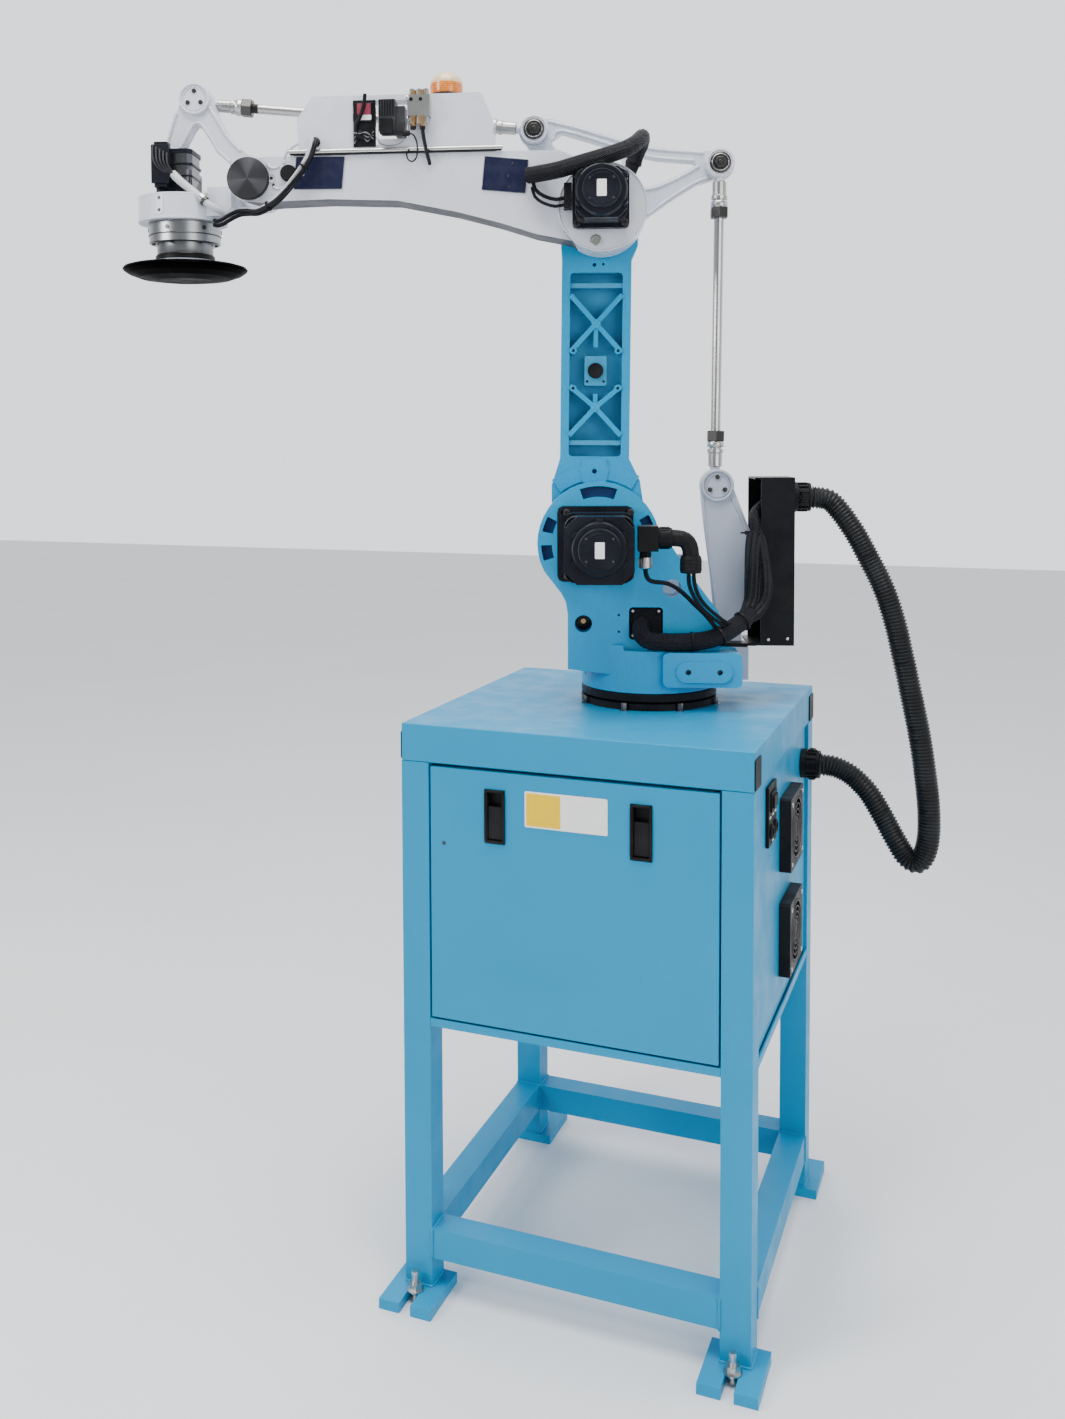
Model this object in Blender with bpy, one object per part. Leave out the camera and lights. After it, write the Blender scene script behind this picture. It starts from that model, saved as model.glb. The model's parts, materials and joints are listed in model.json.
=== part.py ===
"""Four-axis palletising robot arm bolted to the top of a sheet-metal cabinet stand.

Metres, +Z up. The stand is square to the world axes. The arm is built in the turret's frame, whose
x runs from the tool to the back of the arm and whose y runs away from the motor side.
"""

import math

import bmesh
import bpy
from mathutils import Matrix, Vector

# ---------------------------------------------------------------- stand
STAND_X, STAND_Y = 0.2904, 0.0  # centre of the stand from the origin
HALF = 0.300  # half the width and half the depth
TOP_Z = 1.000
PLATE_T = 0.012  # top plate
BAND_Z = 0.936  # underside of the top band
SKIRT_T = 0.004
TUBE, TUBE_WALL = 0.050, 0.003
FOOT_T, FOOT_OUT, FOOT_IN, FOOT_END = 0.018, 0.0226, 0.0236, 0.0607
SLOT_W, SLOT_L = 0.021, 0.048
RAIL_Z0, RAIL_Z1 = 0.070, 0.122
BODY_Z0 = 0.480
PAN_H, PAN_T = 0.014, 0.003
SHEET, PANEL_IN = 0.002, 0.006
GAP = 0.0005
DOOR_HALF, DOOR_Z0, DOOR_Z1, DOOR_D = 0.2465, 0.4975, 0.930, 0.018
HINGE_Y, HINGE_Z = -0.296, 0.5015
LATCH_X, LATCH_W, LATCH_Z0, LATCH_Z1 = (-0.129, 0.1215), 0.036, 0.810, 0.901
FAN_Y, FAN_Z, FAN_SIDE, FAN_PROUD = 0.030, (0.795, 0.610), 0.130, 0.014
FAN_R, BLADES = 0.054, 7
SWITCH_Y, SWITCH_Z = -0.135, 0.862
GLAND_Y, GLAND_Z = 0.205, 0.868

# ---------------------------------------------------------------- arm
J1_X, J1_Y, J1_REST = 0.0353, 0.0625, math.radians(18.0)
BASE_R, BASE_H = 0.1244, 0.0120
RING_Z0, RING_Z1 = 0.0150, 0.0300
SHOULDER = Vector((-0.094, 0.0, 0.296))
LINK_1, TILT_1 = 0.590, math.radians(0.68)
LINK_2, TILT_2 = 0.6310, math.radians(5.60)
REAR_PIVOT = Vector((0.217, 0.0, 0.100))  # from shoulder to P1, and from elbow to P2
FORE_PIVOT = Vector((-0.124, 0.0, 0.168))  # from elbow to Q1, and from wrist to Q2
ROD_Y, EYE_T = 0.030, 0.020
ROD_1_R, ROD_2_R = 0.0090, 0.0075
PIN_R, PIN_GAP = 0.0080, 0.0006
CHEEK_Y0, CHEEK_Y1 = -0.100, -0.034
UPRIGHT_Y = 0.028
ARM_Y0, ARM_Y1 = -0.106, -0.032
CRANK_Y0, CRANK_Y1 = 0.044, 0.066
DISC_R, SHOULDER_R = 0.078, 0.109
DECK = Vector((-0.370, 0.0, 0.0650))
DECK_TURN = -math.atan(0.1)
COLUMN_X0, COLUMN_X1, GLAND_HIGH_Z = 0.187, 0.258, 0.374
HOSE_R = 0.0205
TOOL_X = -0.1495  # tool axis from the wrist pivot
HOUSING_R, HOUSING_Z0, HOUSING_Z1 = 0.0815, -0.0610, -0.0140
CAP_R, CAP_PROUD = 0.0375, 0.0120
COVERS = (
    ((-0.5480, -0.0115), (-0.4620, -0.0040), (-0.4620, 0.0525), (-0.5480, 0.0450)),
    ((-0.2135, 0.0140), (-0.1370, 0.0140), (-0.1370, 0.0720), (-0.2135, 0.0720)),
)

BLUE = (0.07, 0.40, 0.66)
CABINET_BLUE = (0.09, 0.38, 0.56)
WHITE = (0.63, 0.65, 0.69)
GREY = (0.50, 0.52, 0.56)
BLACK = (0.012, 0.012, 0.014)
MOTOR = (0.024, 0.025, 0.032)
NAVY = (0.030, 0.045, 0.110)
SILVER = (0.55, 0.55, 0.55)
AMBER = (0.85, 0.30, 0.03)


def material(name, colour, roughness, metallic=0.0):
    made = bpy.data.materials.new(name)
    made.use_nodes = True
    shader = made.node_tree.nodes["Principled BSDF"]
    shader.inputs["Base Color"].default_value = (*colour, 1.0)
    shader.inputs["Roughness"].default_value = roughness
    shader.inputs["Metallic"].default_value = metallic
    return made


def empty(name, parent, place, turn=0.0, axis="Y"):
    made = bpy.data.objects.new(name, None)
    bpy.context.scene.collection.objects.link(made)
    made.parent = parent
    made.location = place
    made.rotation_euler = Matrix.Rotation(turn, 3, axis).to_euler()
    return made


# ---------------------------------------------------------------- shapes, each a mesh
def as_mesh(bm):
    bmesh.ops.recalc_face_normals(bm, faces=bm.faces)
    mesh = bpy.data.meshes.new("shape")
    bm.to_mesh(mesh)
    bm.free()
    return mesh


def prism(outline, lo, hi, axis="Y"):
    """The outline's two coordinates are the other two axes, in the order XYZ."""
    place = {
        "X": lambda a, b, t: (t, a, b),
        "Y": lambda a, b, t: (a, t, b),
        "Z": lambda a, b, t: (a, b, t),
    }[axis]
    bm = bmesh.new()
    ends = [[bm.verts.new(place(a, b, t)) for a, b in outline] for t in (lo, hi)]
    bm.faces.new(ends[0])
    bm.faces.new(ends[1])
    count = len(outline)
    for i in range(count):
        j = (i + 1) % count
        bm.faces.new((ends[0][i], ends[0][j], ends[1][j], ends[1][i]))
    return as_mesh(bm)


def box(x0, x1, y0, y1, z0, z1):
    return prism(((x0, y0), (x1, y0), (x1, y1), (x0, y1)), z0, z1, "Z")


def circle(a, b, radius, count=32, start=0.0, end=360.0):
    steps = count if end - start >= 360.0 else count + 1
    turns = [math.radians(start + (end - start) * i / count) for i in range(steps)]
    return [(a + radius * math.cos(t), b + radius * math.sin(t)) for t in turns]


def cylinder(a, b, radius, lo, hi, axis="Y", count=32):
    return prism(circle(a, b, radius, count), lo, hi, axis)


def rounded(a0, a1, b0, b1, radius, count=4):
    """A rectangle's outline with round corners."""
    corners = ((a1, b1, 0), (a0, b1, 90), (a0, b0, 180), (a1, b0, 270))
    outline = []
    for a, b, start in corners:
        a += radius if start in (90, 180) else -radius
        b += radius if start in (180, 270) else -radius
        outline += circle(a, b, radius, count, start, start + 90)
    return outline


def turned(profile, a, b, axis="Z", count=32):
    """A solid of revolution about an axis line: the profile is (radius, height), from foot to head."""
    place = {
        "X": lambda r, t, h: (h, a + r * math.cos(t), b + r * math.sin(t)),
        "Y": lambda r, t, h: (a + r * math.cos(t), h, b + r * math.sin(t)),
        "Z": lambda r, t, h: (a + r * math.cos(t), b + r * math.sin(t), h),
    }[axis]
    bm = bmesh.new()
    rings = [
        [bm.verts.new(place(r, 2 * math.pi * i / count, h)) for i in range(count)]
        for r, h in profile
    ]
    bm.faces.new(rings[0])
    bm.faces.new(rings[-1])
    for low, high in zip(rings, rings[1:]):
        for i in range(count):
            j = (i + 1) % count
            bm.faces.new((low[i], low[j], high[j], high[i]))
    return as_mesh(bm)


def swept(points, radius, count=16):
    """A round bar along a smooth path."""
    bm = bmesh.new()
    path = [Vector(p) for p in points]
    rings, side = [], None
    for i, here in enumerate(path):
        along = (path[min(i + 1, len(path) - 1)] - path[max(i - 1, 0)]).normalized()
        side = along.orthogonal() if side is None else side
        side = (side - along * side.dot(along)).normalized()
        other = along.cross(side)
        turns = [2 * math.pi * k / count for k in range(count)]
        rings.append(
            [bm.verts.new(here + radius * (side * math.cos(t) + other * math.sin(t))) for t in turns]
        )
    bm.faces.new(rings[0])
    bm.faces.new(rings[-1])
    for low, high in zip(rings, rings[1:]):
        for k in range(count):
            j = (k + 1) % count
            bm.faces.new((low[k], low[j], high[j], high[k]))
    return as_mesh(bm)


def smooth_path(points, steps=4):
    """A Catmull-Rom curve through the points."""
    pts = [Vector(p) for p in points]
    pts = [2 * pts[0] - pts[1], *pts, 2 * pts[-1] - pts[-2]]
    path = []
    for p0, p1, p2, p3 in zip(pts, pts[1:], pts[2:], pts[3:]):
        for k in range(steps):
            t = k / steps
            path.append(
                0.5 * (2 * p1 + (p2 - p0) * t + (2 * p0 - 5 * p1 + 4 * p2 - p3) * t**2
                       + (3 * p1 - p0 - 3 * p2 + p3) * t**3)
            )
    return [*path, pts[-2]]


def moved(mesh, place=(0, 0, 0), turn=0.0, axis="Z"):
    mesh.transform(Matrix.Translation(place) @ Matrix.Rotation(turn, 4, axis))
    return mesh


def node(name, parent, paint, base, adds=(), cuts=(), late=(), last=(), bevel=0.0, smooth=True):
    """One solid: the base, adds joined on, cuts taken out, late ones joined on, last ones taken out."""
    scene = bpy.context.scene.collection
    made = bpy.data.objects.new(name, base)
    scene.objects.link(made)
    helpers = []
    for operation, meshes in (("UNION", adds), ("DIFFERENCE", cuts), ("UNION", late), ("DIFFERENCE", last)):
        for mesh in meshes:
            helper = bpy.data.objects.new("helper", mesh)
            scene.objects.link(helper)
            helpers.append(helper)
            step = made.modifiers.new(operation.title(), "BOOLEAN")
            step.operation, step.object, step.solver = operation, helper, "EXACT"
    if helpers:
        bpy.context.view_layer.update()
        graph = bpy.context.evaluated_depsgraph_get()
        made.data = bpy.data.meshes.new_from_object(made.evaluated_get(graph))
        made.modifiers.clear()
        for helper in helpers:
            bpy.data.objects.remove(helper, do_unlink=True)
    if bevel:
        edge = made.modifiers.new("Bevel", "BEVEL")
        edge.width, edge.segments, edge.limit_method = bevel, 1, "ANGLE"
        edge.angle_limit = math.radians(50)
    made.data.name = name
    made.data.materials.clear()
    made.data.materials.append(paint)
    if smooth:
        made.data.shade_smooth()
        made.data.set_sharp_from_angle(angle=math.radians(35))
    made.parent = parent
    return made


# ---------------------------------------------------------------- stand pieces
def leg(name, parent, paint, side, end):
    """A square tube welded to a slotted foot plate; side is -1 left, +1 right, end -1 front, +1 back."""
    def span(sign, near, far):
        return sorted((sign * near, sign * far))

    x0, x1 = span(side, HALF - TUBE, HALF)
    y0, y1 = span(end, HALF - TUBE, HALF)
    fx0, fx1 = span(side, HALF - TUBE - FOOT_IN, HALF + FOOT_OUT)
    fy0, fy1 = span(end, HALF - TUBE - 0.004, HALF + FOOT_END)
    sx = (fx0 + fx1) / 2
    sy0, sy1 = span(end, HALF + FOOT_END - SLOT_L, HALF + FOOT_END + 0.01)
    round_y = end * (HALF + FOOT_END - SLOT_L)
    w = TUBE_WALL
    return node(
        name, parent, paint,
        box(fx0, fx1, fy0, fy1, 0.0, FOOT_T),
        adds=[box(x0, x1, y0, y1, FOOT_T - 0.004, BAND_Z - GAP)],
        cuts=[
            box(x0 + w, x1 - w, y0 + w, y1 - w, FOOT_T, BAND_Z + 0.01),
            box(sx - SLOT_W / 2, sx + SLOT_W / 2, sy0, sy1, -0.01, FOOT_T + 0.01),
            cylinder(sx, round_y, SLOT_W / 2 - 0.0002, -0.02, FOOT_T + 0.02, "Z", 16),
        ],
        smooth=False,
    )


def anchor(name, parent, paint, side, end):
    """Washer, nut and stud that hold a foot plate down."""
    x = side * (HALF + (FOOT_OUT - TUBE - FOOT_IN) / 2)
    y = end * (HALF + FOOT_END - SLOT_L + 0.004)
    base = FOOT_T + GAP
    return node(
        name, parent, paint,
        cylinder(x, y, 0.0150, base, base + 0.0025, "Z", 24),
        adds=[
            cylinder(x, y, 0.0125, base + 0.0015, base + 0.0130, "Z", 6),
            cylinder(x, y, 0.0060, 0.0010, base + 0.0330, "Z", 16),
        ],
    )


def rail(name, parent, paint, along, sign):
    """A lower rail between two legs, a square tube open at both ends."""
    lo, hi = -HALF + TUBE + GAP, HALF - TUBE - GAP
    across = sorted((sign * (HALF - TUBE + GAP), sign * (HALF - GAP)))
    a0, a1 = across
    w = TUBE_WALL
    outer = [(a0, RAIL_Z0), (a1, RAIL_Z0), (a1, RAIL_Z1), (a0, RAIL_Z1)]
    inner = [(a0 + w, RAIL_Z0 + w), (a1 - w, RAIL_Z0 + w), (a1 - w, RAIL_Z1 - w), (a0 + w, RAIL_Z1 - w)]
    return node(
        name, parent, paint,
        prism(outer, lo, hi, along),
        cuts=[prism(inner, lo - 0.01, hi + 0.01, along)],
        smooth=False,
    )


def top_cap(parent, paint):
    inside = HALF - SKIRT_T
    return node(
        "top_cap", parent, paint,
        box(-HALF, HALF, -HALF, HALF, BAND_Z, TOP_Z),
        cuts=[box(-inside, inside, -inside, inside, BAND_Z - 0.01, TOP_Z - PLATE_T)],
        bevel=0.0012, smooth=False,
    )


def floor_pan(parent, paint):
    """Bottom of the cabinet, cut round the four legs."""
    edge, notch = HALF - GAP, HALF - TUBE - GAP
    plus = [
        (-notch, -edge), (notch, -edge), (notch, -notch), (edge, -notch), (edge, notch), (notch, notch),
        (notch, edge), (-notch, edge), (-notch, notch), (-edge, notch), (-edge, -notch), (-notch, -notch),
    ]
    step = 0.003
    less = [(a - math.copysign(step, a), b - math.copysign(step, b)) for a, b in plus]
    return node(
        "floor_pan", parent, paint,
        prism(plus, BODY_Z0, BODY_Z0 + PAN_H, "Z"),
        cuts=[prism(less, BODY_Z0 + PAN_T, BODY_Z0 + PAN_H + 0.01, "Z")],
        smooth=False,
    )


def side_panels(parent, paint):
    lo, hi = -HALF + TUBE + GAP, HALF - TUBE - GAP
    z0, z1 = BODY_Z0 + PAN_H + GAP, BAND_Z - GAP
    out, into = HALF - PANEL_IN, HALF - PANEL_IN - SHEET
    node("side_panel_left", parent, paint, box(-out, -into, lo, hi, z0, z1), smooth=False)
    node("back_panel", parent, paint, box(lo, hi, into, out, z0, z1), smooth=False)
    holes = [cylinder(FAN_Y, z, FAN_R + 0.003, 0.2, 0.4, "X", 24) for z in FAN_Z]
    holes.append(cylinder(GLAND_Y, GLAND_Z, 0.0215, 0.2, 0.4, "X", 20))
    node("side_panel_right", parent, paint, box(into, out, lo, hi, z0, z1), cuts=holes, smooth=False)


def door_frame(parent, paint):
    """The folded edge that the door closes against."""
    out = HALF - TUBE - GAP
    y0 = -HALF + DOOR_D + 0.004
    z0, z1 = BODY_Z0 + PAN_H + GAP, BAND_Z - GAP
    node(
        "door_frame", parent, paint,
        box(-out, out, y0, y0 + SHEET, z0, z1),
        cuts=[box(-out + 0.026, out - 0.026, y0 - 0.01, y0 + 0.01, z0 + 0.026, z1 - 0.026)],
        smooth=False,
    )


def door(parent, paint):
    """A folded pan, built from its hinge line at the bottom edge."""
    y0, y1 = -HALF - HINGE_Y, -HALF + DOOR_D - HINGE_Y
    z0, z1 = DOOR_Z0 - HINGE_Z, DOOR_Z1 - HINGE_Z
    w = SHEET
    cuts = [box(-DOOR_HALF + w, DOOR_HALF - w, y0 + w, y1 + 0.01, z0 + w, z1 - w)]
    half = LATCH_W / 2 - 0.003
    for x in LATCH_X:
        cuts.append(
            box(x - half, x + half, y0 - 0.01, y0 + 0.01, LATCH_Z0 + 0.003 - HINGE_Z,
                LATCH_Z1 - 0.003 - HINGE_Z)
        )
    return node(
        "door", parent, paint,
        box(-DOOR_HALF, DOOR_HALF, y0, y1, z0, z1),
        cuts=cuts, bevel=0.0008, smooth=False,
    )


def latch(index, x, door_axis, body_paint, paddle_paint):
    """A flush bezel in the door, with a cup behind it, and the paddle that tips out of it."""
    face = -HALF - HINGE_Y
    z0, z1 = LATCH_Z0 - HINGE_Z, LATCH_Z1 - HINGE_Z
    half = LATCH_W / 2
    cup = half - 0.0036
    node(
        f"latch_{index}", door_axis, body_paint,
        box(x - half, x + half, face - 0.0023, face - GAP, z0, z1),
        adds=[box(x - cup, x + cup, face - 0.001, face + 0.0135, z0 + 0.0036, z1 - 0.0036)],
        cuts=[box(x - cup + 0.0015, x + cup - 0.0015, face - 0.01, face + 0.012, z0 + 0.0051, z1 - 0.0051)],
        smooth=False,
    )
    pivot = empty(f"paddle_{index}_axis", door_axis, (x, face + 0.0045, z0 + 0.0125))
    wide = cup - 0.0026
    top = z1 - z0 - 0.0125 - 0.0290
    node(
        f"paddle_{index}", pivot, paddle_paint,
        prism(((-0.0040, -0.0050), (0.0010, -0.0050), (0.0035, 0.0), (0.0010, top),
            (-0.0040, top)), -wide, wide, "X"),
        smooth=False,
    )


def fan(index, z, parent, guard_paint, rotor_paint):
    """Guard with a round mouth, an inner motor disc on three ribs, and the impeller behind it."""
    face = HALF - PANEL_IN + GAP
    half = FAN_SIDE / 2
    front = HALF + FAN_PROUD
    spokes = []
    for k in range(4):
        spoke = box(front - 0.0045, front - 0.0010, -0.0018, 0.0018, -FAN_R - 0.004, FAN_R + 0.004)
        spokes.append(moved(spoke, (0.0, FAN_Y, z), math.pi * k / 4, "X"))
    node(
        f"fan_guard_{index}", parent, guard_paint,
        prism(rounded(FAN_Y - half, FAN_Y + half, z - half, z + half, 0.006, 3), face, front, "X"),
        cuts=[cylinder(FAN_Y, z, FAN_R, face - 0.01, front + 0.01, "X", 32)],
        late=[cylinder(FAN_Y, z, 0.0190, front - 0.0050, front - 0.0005, "X", 24), *spokes],
    )
    pivot = empty(f"fan_{index}_axis", parent, (face + 0.008, FAN_Y, z))
    blades = []
    for k in range(BLADES):
        turn = 2 * math.pi * k / BLADES
        blade = box(-0.0050, 0.0050, -0.0007, 0.0007, 0.014, FAN_R - 0.004)
        blade.transform(Matrix.Rotation(turn, 4, "X") @ Matrix.Rotation(math.radians(38), 4, "Z"))
        blades.append(blade)
    node(
        f"fan_rotor_{index}", pivot, rotor_paint,
        cylinder(0, 0, 0.0165, -0.0070, 0.0045, "X", 20), adds=blades, smooth=False,
    )


def drive_unit(parent, paint):
    """Servo controller standing on the cabinet floor, with cooling fins on its left side."""
    x0, x1, y0, y1 = -0.170, 0.120, -0.120, 0.200
    z0, z1 = BODY_Z0 + PAN_T + GAP, 0.840
    fins = [box(x0 - 0.02, x0 + 0.022, y, y + 0.012, z0 + 0.03, z1 + 0.01) for y in
            [y0 + 0.020 + 0.029 * k for k in range(10)]]
    node("drive_unit", parent, paint, box(x0, x1, y0, y1, z0, z1), cuts=fins, smooth=False)


# ---------------------------------------------------------------- turret pieces
def base_ring(parent, paint):
    node(
        "base_ring", parent, paint,
        turned(
            [(BASE_R, GAP), (BASE_R, BASE_H), (0.112, BASE_H + 0.0005), (0.112, RING_Z0 - 0.0010)],
            0, 0, "Z", 48,
        ),
    )


def turret(parent, paint):
    """Casting with a round foot, one tall cheek on the motor side and a lower back."""
    sx, sz = SHOULDER.x, SHOULDER.z
    arc = circle(sx, sz, SHOULDER_R, 22, 12, 207)
    cheek = arc + [
        (-0.170, 0.219), (-0.160, 0.206), (-0.152, 0.190), (-0.149, 0.170), (-0.149, 0.070),
        (-0.060, 0.060), (0.119, 0.060), (0.121, 0.165), (0.117, 0.176), (0.060, 0.252), (0.030, 0.300),
    ]
    z0, z1 = RING_Z1 + 0.001, 0.115
    back = [(-0.118, 0.050), (0.120, 0.050), (0.120, 0.150), (0.050, 0.168), (-0.118, 0.168)]
    slots = [
        prism(
            circle(sx, sz, 0.1020, 8, a - w, a + w) + circle(sx, sz, 0.0830, 8, a - w, a + w)[::-1],
            CHEEK_Y0 - 0.01, CHEEK_Y0 + 0.010,
        )
        for a, w in ((90, 19), (160, 8), (190, 8), (22, 8))
    ]
    return node(
        "turret", parent, paint,
        cylinder(0, 0, 0.1235, z0, z1, "Z", 48),
        adds=[
            prism(cheek, CHEEK_Y0, CHEEK_Y1),
            prism(back, CHEEK_Y1 - 0.005, 0.075),
            prism(rounded(0.018, 0.156, 0.045, 0.106, 0.010, 3), -0.136, -0.060),
            prism(rounded(0.041, 0.138, 0.054, 0.091, 0.018, 4), -0.140, -0.130),
        ],
        cuts=[
            *slots,
            box(-0.0500, 0.1300, -0.1300, CHEEK_Y0, 0.1060, 0.1200),
            cylinder(0.036, 0.216, 0.0165, CHEEK_Y0 - 0.01, 0.0, count=24),
            cylinder(-0.121, 0.152, 0.0155, CHEEK_Y0 - 0.01, CHEEK_Y0 + 0.045, count=24),
            prism(rounded(-0.040, 0.020, 0.124, 0.182, 0.006, 2), CHEEK_Y0 - 0.01, CHEEK_Y0 + 0.050),
            cylinder(-0.058, 0.168, 0.0022, CHEEK_Y0 - 0.01, CHEEK_Y0 + 0.012, count=10),
            cylinder(-0.058, 0.138, 0.0022, CHEEK_Y0 - 0.01, CHEEK_Y0 + 0.012, count=10),
            cylinder(0.062, 0.0725, 0.0050, -0.15, -0.120, count=16),
            cylinder(0.117, 0.0725, 0.0050, -0.15, -0.120, count=16),
            cylinder(sx, sz, 0.0510, CHEEK_Y1 - 0.030, 0.0, count=32),
        ],
    )


def turret_ring(parent, paint):
    """Outer race of the slewing bearing, fixed under the turret."""
    node("turret_ring", parent, paint, cylinder(0, 0, 0.1240, RING_Z0, RING_Z1, "Z", 48), bevel=0.0015)


def motor(name, parent, paint, face, half, length, cap_r, flange_x=0.0):
    """A servo motor about its own y axis: square flange, eight-sided cover and round encoder cap."""
    cover, low = half * 0.86, -half * 0.05
    cut = cover * 0.34
    eight = [
        (cover, low + cover - cut), (cover - cut, low + cover), (cut - cover, low + cover),
        (-cover, low + cover - cut), (-cover, low - cover + cut), (cut - cover, low - cover),
        (cover - cut, low - cover), (cover, low - cover + cut),
    ]
    return node(
        name, parent, paint,
        prism(rounded(flange_x - half, flange_x + half, -half, half, half * 0.15, 2), face - 0.016, face),
        adds=[
            prism(rounded(-cover, cover, -cover, cover, cover * 0.2, 2), face - length * 0.42, face - 0.010),
            prism(eight, face - length * 0.80, face - length * 0.38),
            turned(
                [(cap_r, face - length), (cap_r + 0.0015, face - length + 0.003),
                    (cap_r + 0.0015, face - length * 0.7)],
                0, 0, "Y", 28,
            ),
        ],
        cuts=[
            cylinder(flange_x + a * half * 0.84, b * half * 0.84, 0.0040, face - 0.03, face - 0.010,
                count=12)
            for a in (-1, 1) for b in (-1, 1)
        ],
    )


def j2_connector(parent, paint):
    """Plug block beside the shoulder motor and the elbow of its power plug."""
    y = -0.185
    path = smooth_path([(-0.008, y, 0.312), (0.030, y, 0.312), (0.052, y, 0.308), (0.061, y, 0.292),
        (0.062, y, 0.262)], 3)
    node(
        "j2_connector", parent, paint,
        box(-0.028, 0.006, y - 0.020, y + 0.020, 0.290, 0.333),
        adds=[
            swept(path, 0.0145, 16),
            turned([(0.0175, 0.004), (0.0185, 0.008), (0.0185, 0.026), (0.0165, 0.030)], y, 0.312, "X", 20),
            turned([(0.0170, 0.252), (0.0185, 0.256), (0.0185, 0.276), (0.0160, 0.282)], 0.062, y, "Z", 20),
        ],
    )


def link_bracket(parent, paint):
    """Grey casting behind the turret: its leaf-shaped arm carries the lower end of the long rod."""
    px, pz = SHOULDER.x + REAR_PIVOT.x, SHOULDER.z + REAR_PIVOT.z
    front, back = -0.016, ROD_Y - EYE_T / 2 - 0.002
    arm = circle(px, pz, 0.0300, 16, -10, 195) + [
        (0.1000, 0.330), (0.1130, 0.230), (0.1260, 0.095), (0.1680, 0.095), (0.1690, 0.154), (0.1860, 0.200),
        (0.1900, 0.250), (0.1840, 0.310),
    ]
    web = [
        (-0.050, 0.117), (0.104, 0.117), (0.104, 0.060), (0.150, 0.060), (0.150, 0.100),
        (0.118, 0.104), (0.118, 0.150), (0.086, 0.205), (0.073, 0.238), (0.068, 0.262),
        (0.035, 0.262), (-0.050, 0.180),
    ]
    screws = [
        cylinder(px + 0.0155 * math.cos(t), pz + 0.0155 * math.sin(t), 0.0040, front - 0.02,
            front + 0.003, count=12)
        for t in (math.radians(90), math.radians(210), math.radians(330))
    ]
    return node(
        "link_bracket", parent, paint,
        prism(arm, front, back),
        adds=[
            box(0.1245, 0.176, -0.058, 0.084, 0.046, 0.105),
            prism(web, 0.0758, 0.090),
            cylinder(px, pz, 0.0300, front - 0.006, front + 0.004),
            cylinder(px, pz, PIN_R, back - 0.004, ROD_Y + EYE_T / 2 + 0.003, count=20),
        ],
        cuts=[*screws, turned([(0.0255, front - 0.010), (0.0255, front - 0.0045)], px, pz, "Y", 28)],
    )


def column(parent, paint):
    """Upright cable duct, open on the side that faces the arm, with a tongue that bolts to the casting."""
    x0, x1, y0, y1, t = COLUMN_X0, COLUMN_X1, -0.050, 0.050, 0.002
    z0, z1 = 0.107, 0.410
    channel = [
        (x0 + 0.011, y0), (x1, y0), (x1, y1), (x0, y1), (x0, y1 - t), (x1 - t, y1 - t),
        (x1 - t, y0 + t), (x0 + 0.011, y0 + t),
    ]
    return node(
        "cable_column", parent, paint,
        prism(channel, z0 + 0.001, z1, "Z"),
        adds=[
            box(x0, x1, y0, y1, z1 - t, z1 + 0.001),
            box(0.1775, x1, y0, y1, z0, z0 + 0.005),
            box(0.1230, 0.190, y0 - 0.004, y0 + 0.026, z0, z0 + 0.005),
        ],
        cuts=[cylinder(0.0, GLAND_HIGH_Z, 0.0195, x1 - 0.01, x1 + 0.01, "X", 20)],
        smooth=False,
    )


def gland(name, parent, paint):
    """Hose gland with a hexagon, built along +X from the wall it is screwed to."""
    node(
        name, parent, paint,
        turned([(0.0185, -0.012), (0.0185, 0.0006), (0.0275, 0.0008), (0.0275, 0.010), (0.0245, 0.0105),
                (0.0245, 0.030), (0.0262, 0.031), (0.0262, 0.0345)], 0, 0, "X", 20),
        cuts=[cylinder(0, 0, 0.0165, -0.02, 0.008, "X", 16), cylinder(0, 0, 0.0222, 0.0078, 0.05, "X", 16)],
    )


def hose(parent, paint, start, end):
    """Corrugated hose that hangs in one loop from the cable column down to the side of the cabinet."""
    route = [
        start, (0.350, 0.160, 1.365), (0.388, 0.161, 1.317), (0.418, 0.164, 1.262), (0.444, 0.166, 1.208),
        (0.463, 0.169, 1.150), (0.478, 0.173, 1.085), (0.493, 0.176, 1.015), (0.507, 0.180, 0.945),
        (0.518, 0.183, 0.872), (0.525, 0.187, 0.800), (0.523, 0.189, 0.742), (0.509, 0.191, 0.708),
        (0.488, 0.193, 0.712), (0.466, 0.195, 0.744), (0.442, 0.198, 0.786), (0.416, 0.200, 0.826),
        (0.386, 0.203, 0.853), (0.356, 0.2045, 0.866), end,
    ]
    curve = bpy.data.curves.new("cable_hose", "CURVE")
    curve.dimensions, curve.use_fill_caps = "3D", True
    curve.bevel_depth, curve.bevel_resolution = HOSE_R, 3
    path = smooth_path(route, 2)
    spline = curve.splines.new("POLY")
    spline.points.add(len(path) - 1)
    for point, place in zip(spline.points, path):
        point.co = (*place, 1.0)
    curve.materials.append(paint)
    made = bpy.data.objects.new("cable_hose", curve)
    bpy.context.scene.collection.objects.link(made)
    made.parent = parent


# ---------------------------------------------------------------- links
def rib(start, end, y0, y1, width):
    """A straight rib between two points of the casting's face."""
    a, b = Vector(start), Vector(end)
    side = (b - a).orthogonal().normalized() * width / 2
    return prism([tuple(a + side), tuple(b + side), tuple(b - side), tuple(a - side)], y0, y1)


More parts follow.
